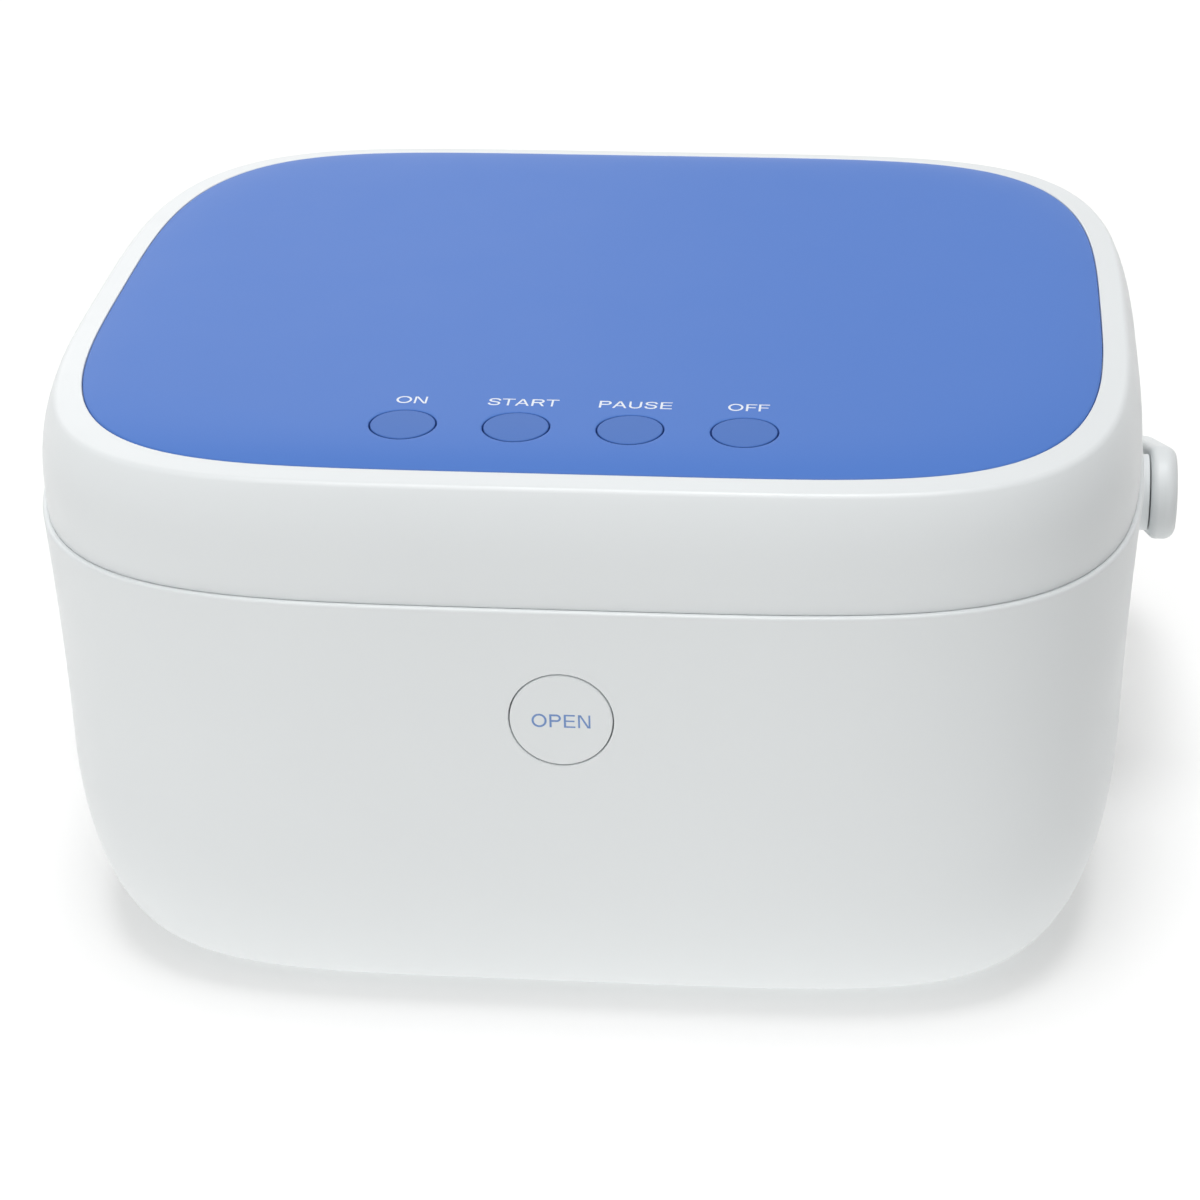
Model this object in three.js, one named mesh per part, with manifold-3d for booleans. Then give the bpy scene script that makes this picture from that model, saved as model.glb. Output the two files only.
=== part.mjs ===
// Sterilizer case for pacifiers and bottles: a drafted body on four feet, a crowned lid hinged at the
// back, a steel chamber with a wire rack, ultraviolet lamps above and below, a push-button latch and a
// carry handle that folds down behind the body.
// Millimetres. +X is the viewer's right, -Y is the front, +Z is up and z = 0 is the surface it stands on.
import * as THREE from "three";
import { mergeVertices } from "three/addons/utils/BufferGeometryUtils.js";
import Module from "manifold-3d";

const wasm = await Module();
wasm.setup();

// Gaps and facets shared by all pieces
const gap = 0.35;
const seamGap = 0.7;
const overrun = 4;
const bond = 0.5;
const facetSag = 0.4;
const outlineCount = 32;
const roundSides = 16;
const smallSides = 8;
const turnRows = 4;

// Plan outlines: |x / halfWidth|^powerX + |y / halfDepth|^powerY = 1
const seamPower = { x: 4.5, y: 3.6 };
const basePower = { x: 5.2, y: 3.75 };
const panelPower = { x: 5.5, y: 3.4 };

// Body: a moulded bucket whose draft eases towards a tall rounded bottom edge
const body = {
  halfWidth: 150,
  halfDepth: 131.7,
  height: 122.5,
  wall: 2.6,
  floor: 5.2,
  turnHeight: 53.6,
  turnInset: 18,
  ledgeDrop: 5,
  ledgeThickness: 3,
  ledgeReach: 7.5,
};
const bodyDraft = { seam: radians(4.4), turn: radians(1.2) };
const foot = { radius: 9, height: 2.5, recess: 1, fillet: 1, fromSide: 39, fromFront: 39 };
const plate = { margin: 15.5, thickness: 2.4, ledge: 12 };
const plateScrew = {
  radius: 1.6,
  headRadius: 3.2,
  headHeight: 1.5,
  length: 11,
  bossRadius: 4.6,
  bossHeight: 8,
  inset: 6,
};
const vent = { halfWidth: 1.8, halfLength: 22, pitch: 10, count: 7 };

// Chamber: a pressed steel tub hung by its flange on the ledge of the body
const tub = {
  sideSpace: 24.5,
  frontSpace: 29.2,
  wall: 1.5,
  bottomRadius: 12,
  edgeGap: 0.6,
};
const tubDraft = radians(3);

// Wire rack that stands on the floor of the tub
const rack = {
  sideGap: 5,
  height: 16,
  rimRadius: 1.7,
  wireRadius: 1.15,
  pitch: 15.5,
  crossPlace: 46,
  legPlace: 84,
};

// Lamp boards, their windows and the driver board
const lamp = {
  halfLength: 42,
  halfWidth: 10,
  radius: 3,
  windowThickness: 2,
  rebate: 2.5,
  boardThickness: 1.6,
  boardGap: 4,
  boardRoom: 4.8,
  diodeSize: 3.4,
  diodeHeight: 1.4,
  diodeCount: 6,
  postRadius: 2.6,
  postInset: 4,
};
const driver = {
  halfLength: 46,
  halfWidth: 30,
  thickness: 1.6,
  standoff: 5,
  postRadius: 3,
  postInset: 5,
  coilSize: 20,
  coilHeight: 9,
  canRadius: 5,
  canHeight: 10,
  connectorSize: 7,
};

// Power inlet in the rear wall: a two-pin socket in a flanged housing
const inlet = {
  x: 60,
  drop: 48,
  halfWidth: 10,
  halfHeight: 6.5,
  flange: 2.5,
  flangeThickness: 1.6,
  length: 20,
  mouthHalfWidth: 7.6,
  mouthHalfHeight: 4.3,
  mouthDepth: 14,
  pinRadius: 1.15,
  pinPlace: 4.2,
  pinRecess: 6,
  corner: 2,
};

// Front latch: button, guide bracket, lever with a hook, and the catch on the lid
const button = {
  drop: 31.9,
  holeRadius: 13.6,
  flangeExtra: 2,
  flangeThickness: 1.8,
  stemRadius: 3.4,
  tipRadius: 1.5,
  tipLength: 1.6,
  travel: 2.5,
};
const bracket = {
  room: 8.6,
  thickness: 2,
  halfWidth: 26,
  halfHeight: 10,
  postPlace: 21,
  postRadius: 4,
  cheekPlace: 7.6,
  cheekThickness: 2.2,
  cheekRadius: 4.4,
};
const lever = {
  rise: 12,
  thickness: 2.5,
  halfWidth: 6,
  hubRadius: 3.2,
  nose: 2.6,
  noseHeight: 2.6,
  tail: 3.4,
};
const latchPin = { radius: 1.5, headRadius: 2.5, headThickness: 1 };
const latchCatch = {
  halfWidth: 8,
  tongue: 2.2,
  lip: 2.6,
  lipHeight: 2.4,
  slip: 0.6,
  padThickness: 2,
  padHalfDepth: 8,
};
const buttonSpring = { meanRadius: 5.4, wireRadius: 0.5, turns: 3 };

// Lid: a moulded ring with a recess that takes the crowned panel
const lid = {
  shoulderHeight: 31.4,
  shoulderInset: 5.9,
  leanPower: 3.25,
  rimHeight: 32.4,
  panelInset: 12.6,
  bulge: 0.3,
  creaseRadius: 1.5,
  wall: 2.6,
  recess: 2.95,
  ledge: 7,
  ledgeThickness: 2.2,
  bossRadius: 3.6,
};
const bossAngleShares = [0.125, 0.25, 0.375, 0.625, 0.71, 0.79, 0.875];
const panel = { thickness: 2.6, crown: 3 };
const crownPower = 14;
const crownRowShares = [1, 0.985, 0.955, 0.91, 0.84, 0.72, 0.45];
const crownBackShares = [1, 0.92, 0.78];
const key = {
  holeRadius: 8.8,
  pitch: 29.2,
  middleX: 1,
  fromFront: 34.7,
  flangeExtra: 1.6,
  flangeThickness: 1.2,
  stemRadius: 2.2,
  stemLength: 4.2,
  travel: 0.8,
};
const keyNames = ["key_on", "key_start", "key_pause", "key_off"];
const control = {
  halfLength: 74,
  halfWidth: 13,
  thickness: 1.6,
  switchSize: 6,
  switchHeight: 3.4,
  nubRadius: 1.7,
  nubHeight: 0.7,
  spare: 0.25,
  postRadius: 3,
  postInset: 6,
  chipSize: 10,
  chipHeight: 1.5,
  connectorLength: 16,
  connectorHeight: 5,
};

// Lid liner, its seal and the pieces it carries
const liner = {
  edgeGap: 0.5,
  lift: 1.8,
  thickness: 2.2,
  dish: 5,
  dishInset: 24,
  dishSlope: 6,
};
const seal = { inset: 7, width: 4 };
const magnet = { radius: 4, thickness: 2.4, widthShare: 0.64, fromFront: 15.5 };
const reed = { halfLength: 7, radius: 2 };

// Hinge behind the rear wall: a hollow knuckle on the lid between two ears on the body
const hinge = {
  radius: 6,
  pinRadius: 2,
  headRadius: 3.2,
  headThickness: 1.4,
  springRoom: 4.5,
  wallGap: 0.7,
  knuckleHalf: 30,
  earWidth: 13,
  flangeHeight: 10,
  flangeThickness: 2.4,
  earPlateDrop: 21,
};
const lidSpring = { meanRadius: 3.3, wireRadius: 0.5, turns: 4, halfLength: 24 };

// Carry handle: a bail that turns on two side pins and rests folded down behind the body
const handle = {
  sideGap: 7,
  pivotDrop: 32,
  pivotY: 19,
  backGap: 10.8403,
  cornerRadius: 52,
  armThickness: 7.5,
  gripThickness: 11,
  halfWidth: 13.4,
  innerFillet: 2,
  outerFillet: 3.4,
  bossRadius: 11,
  pinRadius: 4,
  pinInside: 5,
  nutRadius: 6.5,
  nutThickness: 3,
  headRadius: 7,
  headThickness: 2,
  capThickness: 1.2,
};
const handleRest = radians(22);

// Places worked out from the sizes above
const baseZ = foot.height;
const seamZ = baseZ + body.height;
const turnDepth = body.height - body.turnHeight;
const flangeTop = seamZ - body.ledgeDrop + gap + tub.wall;
const driverTop = baseZ + plate.thickness + driver.standoff + gap + driver.thickness + driver.canHeight;
const lampStack = lamp.boardThickness + lamp.diodeHeight + gap + lamp.windowThickness + gap;
const tubFloor = driverTop + lamp.boardRoom + lampStack + tub.wall;
const tubDepth = flangeTop - tubFloor;
const tubHalfWidth = body.halfWidth - tub.sideSpace;
const tubHalfDepth = body.halfDepth - tub.frontSpace;
const buttonZ = seamZ - button.drop;
const buttonFoot = button.drop + button.holeRadius + button.flangeExtra;
const frontInner = -(body.halfDepth - bodyInset(buttonFoot) - body.wall - facetSag);
const nutFoot = handle.pivotDrop + handle.nutRadius;
const sideInner = body.halfWidth - bodyInset(nutFoot) - body.wall - facetSag;
const hingeY = body.halfDepth + hinge.wallGap + hinge.radius;
const rimZ = seamZ + lid.rimHeight;
const panelHalfWidth = body.halfWidth - lid.panelInset;
const panelHalfDepth = body.halfDepth - lid.panelInset;
const keyY = -(body.halfDepth - key.fromFront);
const armInner = body.halfWidth - bodyInset(handle.pivotDrop) + handle.sideGap;
const armOuter = armInner + handle.armThickness;
const pivotZ = seamZ - handle.pivotDrop;
const handleReach = (body.halfDepth + handle.backGap - handle.pivotY) / Math.cos(handleRest);
const handleBack =
  handle.pivotY +
  Math.cos(handleRest) * (handleReach + handle.gripThickness) +
  Math.sin(handleRest) * (handle.halfWidth - handle.outerFillet);

// The frame's origin is the middle of the whole footprint, so the body stands a little forward of it
const product = new THREE.Group();
product.position.y = (body.halfDepth - handleBack) / 2;

const finishes = {
  whiteShell: new THREE.MeshStandardMaterial({ color: 0xe6ebee, roughness: 0.45 }),
  bluePanel: new THREE.MeshStandardMaterial({ color: 0x4a69bd, roughness: 0.3 }),
  steel: new THREE.MeshStandardMaterial({ color: 0xc3c6c9, roughness: 0.28, metalness: 1 }),
  linerPlastic: new THREE.MeshStandardMaterial({ color: 0xcfd3d6, roughness: 0.4 }),
  rubber: new THREE.MeshStandardMaterial({ color: 0x8f9598, roughness: 0.8 }),
  board: new THREE.MeshStandardMaterial({ color: 0x1f6b45, roughness: 0.6 }),
  glass: new THREE.MeshStandardMaterial({
    color: 0xdfeaf2,
    roughness: 0.05,
    transparent: true,
    opacity: 0.4,
  }),
  darkPlastic: new THREE.MeshStandardMaterial({ color: 0x2a2c2e, roughness: 0.5 }),
};

function radians(degrees) {
  return (degrees * Math.PI) / 180;
}

function point(x, y, z) {
  return new THREE.Vector3(x, y, z);
}

// Solids, joins and cuts

function asSolid(geometry) {
  const bare = geometry.clone();
  bare.deleteAttribute("normal");
  bare.deleteAttribute("uv");
  const welded = mergeVertices(bare);
  return new wasm.Manifold(
    new wasm.Mesh({
      numProp: 3,
      vertProperties: new Float32Array(welded.attributes.position.array),
      triVerts: new Uint32Array(welded.index.array),
    }),
  );
}

function joined(first, ...others) {
  return others.reduce((all, other) => all.add(other), first);
}

function cut(first, ...tools) {
  return tools.reduce((left, tool) => left.subtract(tool), first);
}

function add(name, solid, finish, group = product) {
  const { vertProperties, triVerts } = solid.getMesh();
  const geometry = new THREE.BufferGeometry();
  geometry.setAttribute("position", new THREE.BufferAttribute(vertProperties, 3));
  geometry.setIndex(new THREE.BufferAttribute(triVerts, 1));
  const faceted = geometry.toNonIndexed();
  faceted.computeVertexNormals();
  const mesh = new THREE.Mesh(faceted, finish);
  mesh.name = name;
  group.add(mesh);
  return mesh;
}

// A skin through rings of equally many points. Open lofts get a cap with a middle point at each end;
// round lofts join the last ring to the first.
function loft(rings, round = false) {
  const count = rings[0].length;
  const points = rings.flat();
  const faces = [];
  const last = round ? rings.length : rings.length - 1;
  for (let i = 0; i < last; i++) {
    const next = (i + 1) % rings.length;
    for (let j = 0; j < count; j++) {
      const k = (j + 1) % count;
      const [a, b, c, d] = [i * count + j, i * count + k, next * count + k, next * count + j];
      faces.push(a, b, c, a, c, d);
    }
  }
  if (!round) {
    for (const [ring, start, turned] of [
      [rings[0], 0, true],
      [rings.at(-1), (rings.length - 1) * count, false],
    ]) {
      const middle = points.length;
      points.push(ring.reduce((sum, p) => sum.add(p), point(0, 0, 0)).divideScalar(count));
      for (let j = 0; j < count; j++) {
        const k = (j + 1) % count;
        if (turned) faces.push(middle, start + k, start + j);
        else faces.push(middle, start + j, start + k);
      }
    }
  }
  if (enclosedVolume(points, faces) < 0) faces.reverse();
  const geometry = new THREE.BufferGeometry().setFromPoints(points);
  geometry.setIndex(faces);
  return asSolid(geometry);
}

function enclosedVolume(points, faces) {
  let sum = 0;
  for (let i = 0; i < faces.length; i += 3) {
    const [a, b, c] = [points[faces[i]], points[faces[i + 1]], points[faces[i + 2]]];
    sum += a.dot(b.clone().cross(c));
  }
  return sum;
}

function rod(radius, start, end, sides = roundSides) {
  const axis = end.clone().sub(start);
  const geometry = new THREE.CylinderGeometry(radius, radius, axis.length(), sides);
  const turn = new THREE.Quaternion().setFromUnitVectors(point(0, 1, 0), axis.normalize());
  geometry.applyQuaternion(turn);
  const middle = start.clone().add(end).divideScalar(2);
  geometry.translate(middle.x, middle.y, middle.z);
  return asSolid(geometry);
}

function block([x0, x1], [y0, y1], [z0, z1]) {
  const geometry = new THREE.BoxGeometry(x1 - x0, y1 - y0, z1 - z0);
  geometry.translate((x0 + x1) / 2, (y0 + y1) / 2, (z0 + z1) / 2);
  return asSolid(geometry);
}

// An upright slab with round corners, centred on (x, y), between two heights
function slab(x, y, halfX, halfY, corner, z0, z1) {
  const shape = new THREE.Shape();
  const [left, right, front, back] = [-halfX + corner, halfX - corner, -halfY + corner, halfY - corner];
  shape.absarc(right, front, corner, -Math.PI / 2, 0);
  shape.absarc(right, back, corner, 0, Math.PI / 2);
  shape.absarc(left, back, corner, Math.PI / 2, Math.PI);
  shape.absarc(left, front, corner, Math.PI, (3 * Math.PI) / 2);
  const drawn = { depth: z1 - z0, bevelEnabled: false, curveSegments: 2 };
  const geometry = new THREE.ExtrudeGeometry(shape, drawn);
  geometry.translate(x, y, z0);
  return asSolid(geometry);
}

// A round spring: a helix about the line from start to end, as one tube with closed ends
function helix(start, end, meanRadius, wireRadius, turns) {
  const axis = end.clone().sub(start);
  const along = axis.clone().normalize();
  const side = new THREE.Vector3().crossVectors(along, point(0, 0, 1)).normalize();
  const steps = turns * 8;
  const wireSides = 5;
  const rings = [];
  for (let i = 0; i <= steps; i++) {
    const radial = side.clone().applyAxisAngle(along, (i / steps) * turns * 2 * Math.PI);
    const middle = start.clone().addScaledVector(axis, i / steps).addScaledVector(radial, meanRadius);
    rings.push(
      Array.from({ length: wireSides }, (_, j) => {
        const angle = (j / wireSides) * 2 * Math.PI;
        return middle
          .clone()
          .addScaledVector(radial, wireRadius * Math.cos(angle))
          .addScaledVector(along, wireRadius * Math.sin(angle));
      }),
    );
  }
  return loft(rings);
}

// Plan outlines of the body, the lid and the panel

function outlinePoint(halfWidth, halfDepth, power, angle, z) {
  const across = Math.cos(angle);
  const along = Math.sin(angle);
  return point(
    Math.sign(across) * halfWidth * Math.abs(across) ** (2 / power.x),
    Math.sign(along) * halfDepth * Math.abs(along) ** (2 / power.y),
    z,
  );
}

function outline(halfWidth, halfDepth, power, z) {
  return Array.from({ length: outlineCount }, (_, i) => {
    const angle = (i / outlineCount) * 2 * Math.PI;
    return outlinePoint(halfWidth, halfDepth, power, angle, z);
  });
}

function between(from, to, share) {
  return { x: from.x + (to.x - from.x) * share, y: from.y + (to.y - from.y) * share };
}

// How far the body's side stands inside the seam outline, at a depth below the seam
function bodyInset(depth) {
  const seamSlope = Math.tan(bodyDraft.seam);
  const turnSlope = Math.tan(bodyDraft.turn);
  const straight = Math.min(depth, turnDepthOf());
  const drawn = seamSlope * straight - ((seamSlope - turnSlope) * straight ** 2) / (2 * turnDepthOf());
  if (depth <= turnDepthOf()) return drawn;
  const below = depth - turnDepthOf();
  const sine = Math.min(below / body.turnHeight, 1);
  return drawn + turnSlope * below + body.turnInset * (1 - Math.sqrt(1 - sine ** 2));
}

function turnDepthOf() {
  return body.height - body.turnHeight;
}

function bodyRing(depth, inset) {
  const drawn = bodyInset(depth) + inset;
  const power = between(seamPower, basePower, depth / body.height);
  return outline(body.halfWidth - drawn, body.halfDepth - drawn, power, seamZ - depth);
}

function bodySolid(top, bottom, inset) {
  const depths = [top, turnDepth / 2, turnDepth];
  for (let i = 1; i < turnRows; i++) {
    const depth = turnDepth + body.turnHeight * Math.sin(((i / turnRows) * Math.PI) / 2);
    if (depth < bottom) depths.push(depth);
  }
  depths.push(bottom);
  return loft(depths.map((depth) => bodyRing(depth, inset)));
}

// How far the lid's side stands inside the seam outline, at a height above the seam
function lidInset(height) {
  const rise = height / lid.shoulderHeight;
  return lid.shoulderInset * rise ** lid.leanPower - 4 * lid.bulge * rise * (1 - rise);
}

function lidRing(height, inset) {
  const power = between(seamPower, panelPower, height / lid.rimHeight);
  return outline(body.halfWidth - inset, body.halfDepth - inset, power, seamZ + height);
}

// Outer profile of the lid from its lower edge over the soft crease to the edge of the panel
function lidProfile() {
  const sideTop = lid.shoulderHeight - lid.creaseRadius;
  const rows = [];
  const sideRows = 3;
  for (let i = 0; i < sideRows; i++) {
    const height = seamGap / 2 + ((sideTop - seamGap / 2) * i) / sideRows;
    rows.push([lidInset(height), height]);
  }
  const rimSlope = (lid.rimHeight - lid.shoulderHeight) / (lid.panelInset - lid.shoulderInset);
  const crease = new THREE.QuadraticBezierCurve(
    new THREE.Vector2(lidInset(sideTop), sideTop),
    new THREE.Vector2(lid.shoulderInset, lid.shoulderHeight),
    new THREE.Vector2(
      lid.shoulderInset + lid.creaseRadius,
      lid.shoulderHeight + rimSlope * lid.creaseRadius,
    ),
  );
  for (const { x, y } of crease.getPoints(3)) rows.push([x, y]);
  rows.push([lid.panelInset, lid.rimHeight]);
  return rows;
}

// Height of the panel's crown above its edge, at a share of the way from its middle to its edge
function crownRise(share) {
  return panel.crown * (1 - share ** crownPower);
}

function panelRing(share, drop) {
  const rise = crownRise(share) - drop;
  const [halfWidth, halfDepth] = [panelHalfWidth - gap, panelHalfDepth - gap];
  return outline(halfWidth * share, halfDepth * share, panelPower, rimZ + rise);
}

// Everything under the crown's surface, as a block that keys are trimmed with
function crownBlock() {
  const top = crownRowShares.map((share) => panelRing(share, 0));
  const foot = panelRing(1, lid.rimHeight);
  return loft([foot, ...top]);
}

// Body, base and feet

function platePlan(inset, z) {
  const drawn = bodyInset(body.height) + plate.margin + inset;
  return outline(body.halfWidth - drawn, body.halfDepth - drawn, basePower, z);
}

function screwPlaces() {
  const drawn = bodyInset(body.height) + plate.margin + plateScrew.inset;
  const [x, y] = [body.halfWidth - drawn, body.halfDepth - drawn];
  return [point(x, 0, baseZ), point(0, y, baseZ), point(-x, 0, baseZ), point(0, -y, baseZ)];
}

function up(place, height) {
  return place.clone().add(point(0, 0, height));
}

function buildBaseShell() {
  const outer = bodySolid(seamGap / 2, body.height, 0);
  const inner = bodySolid(-overrun, body.height - body.floor, body.wall);
  const ledgeEnds = [body.ledgeDrop, body.ledgeDrop + body.ledgeThickness];
  const ledge = loft(
    [
      bodyRing(ledgeEnds[0], body.wall / 2),
      bodyRing(ledgeEnds[0], body.wall + body.ledgeReach),
      bodyRing(ledgeEnds[1], body.wall + body.ledgeReach),
      bodyRing(ledgeEnds[1], body.wall / 2),
    ],
    true,
  );
  const seat = loft([platePlan(-gap, baseZ - overrun), platePlan(-gap, baseZ + plate.thickness + gap)]);
  const opening = loft([
    platePlan(plate.ledge, baseZ - overrun),
    platePlan(plate.ledge, baseZ + body.floor + overrun),
  ]);
  let shell = cut(joined(cut(outer, inner), ledge), seat, opening);
  const floorTop = body.floor;
  for (const place of screwPlaces()) {
    const boss = rod(
      plateScrew.bossRadius,
      up(place, floorTop - bond),
      up(place, floorTop + plateScrew.bossHeight),
      smallSides,
    );
    const pilot = rod(
      plateScrew.radius + gap,
      up(place, 0),
      up(place, floorTop + plateScrew.bossHeight + overrun),
      smallSides,
    );
    shell = cut(joined(shell, boss), pilot);
  }
  for (const side of [-1, 1]) {
    const boss = rod(
      handle.bossRadius,
      point(side * (sideInner + facetSag + bond), handle.pivotY, pivotZ),
      point(side * (armInner - gap), handle.pivotY, pivotZ),
    );
    const bore = rod(
      handle.pinRadius + gap,
      point(side * (sideInner - overrun), handle.pivotY, pivotZ),
      point(side * (armInner + overrun), handle.pivotY, pivotZ),
      smallSides,
    );
    const post = rod(
      bracket.postRadius,
      point(side * bracket.postPlace, frontInner - facetSag - bond, buttonZ),
      point(side * bracket.postPlace, frontInner + bracket.room - gap, buttonZ),
      smallSides,
    );
    shell = cut(joined(shell, boss, post), bore);
  }
  const buttonHole = rod(
    button.holeRadius,
    point(0, -body.halfDepth - overrun, buttonZ),
    point(0, frontInner + overrun, buttonZ),
    2 * roundSides,
  );
  const inletHole = block(
    [inlet.x - inlet.halfWidth - gap, inlet.x + inlet.halfWidth + gap],
    [inletWallY() - body.wall - overrun, inletWallY() + overrun],
    [inletZ() - inlet.halfHeight - gap, inletZ() + inlet.halfHeight + gap],
  );
  return cut(shell, buttonHole, inletHole);
}

function inletZ() {
  return seamZ - inlet.drop;
}

// Where the rear wall's outer face stands furthest out behind the inlet's flange
function inletWallY() {
  const drop = inlet.drop - inlet.halfHeight - inlet.flange;
  const drawn = bodyInset(drop);
  const power = between(seamPower, basePower, drop / body.height);
  const nearEdge = inlet.x - inlet.halfWidth - inlet.flange;
  const across = (nearEdge / (body.halfWidth - drawn)) ** power.x;
  return (body.halfDepth - drawn) * (1 - across) ** (1 / power.y);
}

function footPlaces() {
  const x = body.halfWidth - bodyInset(body.height) - foot.fromSide;
  const y = body.halfDepth - bodyInset(body.height) - foot.fromFront;
  return [point(-x, -y, 0), point(x, -y, 0), point(-x, y, 0), point(x, y, 0)];
}

function driverPosts() {
  const [x, y] = [driver.halfLength - driver.postInset, driver.halfWidth - driver.postInset];
  return [point(-x, -y, 0), point(x, -y, 0), point(-x, y, 0), point(x, y, 0)];
}

function buildBasePlate() {
  const top = baseZ + plate.thickness;
  let sheet = loft([platePlan(0, baseZ), platePlan(0, top)]);
  for (const place of driverPosts()) {
    sheet = joined(
      sheet,
      rod(driver.postRadius, up(place, top - bond), up(place, top + driver.standoff), smallSides),
    );
  }
  for (const place of footPlaces()) {
    sheet = cut(sheet, rod(foot.radius + gap, up(place, baseZ - overrun), up(place, baseZ + foot.recess)));
  }
  for (const place of screwPlaces()) {
    sheet = cut(
      sheet,
      rod(plateScrew.radius + gap, up(place, -overrun), up(place, plate.thickness + overrun), smallSides),
      rod(
        plateScrew.headRadius + gap,
        up(place, -overrun),
        up(place, plateScrew.headHeight + gap),
        smallSides,
      ),
    );
  }
  for (let i = 0; i < vent.count; i++) {
    const x = (i - (vent.count - 1) / 2) * vent.pitch;
    sheet = cut(
      sheet,
      slab(x, 0, vent.halfWidth, vent.halfLength, vent.halfWidth, baseZ - overrun, top + overrun),
    );
  }
  return sheet;
}

function buildFoot(place) {
  const top = foot.height + foot.recess - gap;
  const profile = [
    new THREE.Vector2(0, 0),
    new THREE.Vector2(foot.radius - foot.fillet, 0),
    new THREE.Vector2(foot.radius, foot.fillet),
    new THREE.Vector2(foot.radius, top),
    new THREE.Vector2(0, top),
  ];
  const turned = new THREE.LatheGeometry(profile, roundSides).rotateX(Math.PI / 2);
  turned.translate(place.x, place.y, 0);
  return asSolid(turned);
}

function buildPlateScrew(place) {
  const head = rod(plateScrew.headRadius, up(place, gap), up(place, plateScrew.headHeight), smallSides);
  const shank = rod(
    plateScrew.radius,
    up(place, plateScrew.headHeight - bond),
    up(place, plateScrew.length),
    smallSides,
  );
  const slotHalf = plateScrew.radius / 4;
  const slot = block(
    [place.x - plateScrew.headRadius, place.x + plateScrew.headRadius],
    [place.y - slotHalf, place.y + slotHalf],
    [place.z, place.z + plateScrew.headHeight / 2],
  );
  return cut(joined(head, shank), slot);
}

// Chamber tub, rack, lamps and driver board

function tubRing(depth, grow) {
  const turnStart = tubDepth - tub.bottomRadius;
  const below = Math.max(depth - turnStart, 0);
  const turned = tub.bottomRadius - Math.sqrt(Math.max(tub.bottomRadius ** 2 - below ** 2, 0));
  const drawn = Math.tan(tubDraft) * depth + turned - grow;
  return outline(tubHalfWidth - drawn, tubHalfDepth - drawn, seamPower, flangeTop - depth);
}

function tubSolid(top, grow) {
  const rings = [tubRing(top, grow), tubRing(tubDepth - tub.bottomRadius, grow)];
  for (const angle of [radians(30), radians(60), radians(90)]) {
    rings.push(tubRing(tubDepth - tub.bottomRadius * (1 - Math.sin(angle)), grow));
  }
  return rings;
}

function windowCut(z0, z1, extra) {
  const corner = lamp.radius + Math.max(extra, 0);
  return slab(0, 0, lamp.halfLength + extra, lamp.halfWidth + extra, corner, z0, z1);
}

function buildTub() {
  const outerRings = tubSolid(0, tub.wall);
  outerRings.push(outerRings.at(-1).map((p) => up(p, -tub.wall)));
  const flangeInset = bodyInset(body.ledgeDrop) + body.wall + tub.edgeGap;
  const flangePlan = (z) => outline(body.halfWidth - flangeInset, body.halfDepth - flangeInset, seamPower, z);
  const flange = loft([flangePlan(flangeTop - tub.wall), flangePlan(flangeTop)]);
  const hookRoom = block(
    [-bracket.halfWidth / 2, bracket.halfWidth / 2],
    [leverY() - lever.thickness - button.travel * 2, catchY() + latchCatch.tongue + gap * 3],
    [flangeTop - tub.wall - overrun, flangeTop + overrun],
  );
  const floorOpening = windowCut(tubFloor - tub.wall - overrun, tubFloor + overrun, -lamp.rebate);
  return cut(joined(loft(outerRings), flange), loft(tubSolid(-overrun, 0)), hookRoom, floorOpening);
}

// The rack: a bent rim, straight wires across it, two cross wires under them and four legs
function buildRack() {
  const rimZAt = tubFloor + rack.height;
  const drawn = Math.tan(tubDraft) * tubDepth + rack.sideGap;
  const [halfWidth, halfDepth] = [tubHalfWidth - drawn, tubHalfDepth - drawn];
  const sides = 6;
  const rimRings = Array.from({ length: sides }, (_, i) => {
    const angle = (i / sides) * 2 * Math.PI;
    const grow = rack.rimRadius * Math.cos(angle);
    return outline(halfWidth + grow, halfDepth + grow, seamPower, rimZAt + rack.rimRadius * Math.sin(angle));
  });
  let wires = loft(rimRings, true);
  const reachY = (x) => halfDepth * (1 - Math.abs(x / halfWidth) ** seamPower.x) ** (1 / seamPower.y);
  const reachX = (y) => halfWidth * (1 - Math.abs(y / halfDepth) ** seamPower.y) ** (1 / seamPower.x);
  const count = Math.floor((halfWidth - rack.pitch / 2) / rack.pitch) * 2 + 1;
  for (let i = 0; i < count; i++) {
    const x = (i - (count - 1) / 2) * rack.pitch;
    wires = joined(
      wires,
      rod(rack.wireRadius, point(x, -reachY(x), rimZAt), point(x, reachY(x), rimZAt), sides),
    );
  }
  const crossZ = rimZAt - rack.wireRadius * 1.5;
  for (const y of [-rack.crossPlace, rack.crossPlace]) {
    wires = joined(
      wires,
      rod(rack.wireRadius, point(-reachX(y), y, crossZ), point(reachX(y), y, crossZ), sides),
    );
    for (const x of [-rack.legPlace, rack.legPlace]) {
      const leg = rod(rack.wireRadius, point(x, y, tubFloor + gap), point(x, y, crossZ), sides);
      wires = joined(wires, leg);
    }
  }
  return wires;
}

// A lamp board: a plate with a row of diodes on the side that faces the chamber
function buildLampBoard(z, facing) {
  const far = z + facing * lamp.boardThickness;
  const [z0, z1] = [Math.min(z, far), Math.max(z, far)];
  let sheet = slab(0, 0, lamp.halfLength, lamp.halfWidth, lamp.radius, z0, z1);
  const diodeEnds = [far - facing * bond, far + facing * lamp.diodeHeight].sort((a, b) => a - b);
  for (let i = 0; i < lamp.diodeCount; i++) {
    const pitch = (2 * (lamp.halfLength - lamp.postInset * 2)) / lamp.diodeCount;
    const x = (i - (lamp.diodeCount - 1) / 2) * pitch;
    const half = lamp.diodeSize / 2;
    sheet = joined(sheet, block([x - half, x + half], [-half, half], diodeEnds));
  }
  return sheet;
}

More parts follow.
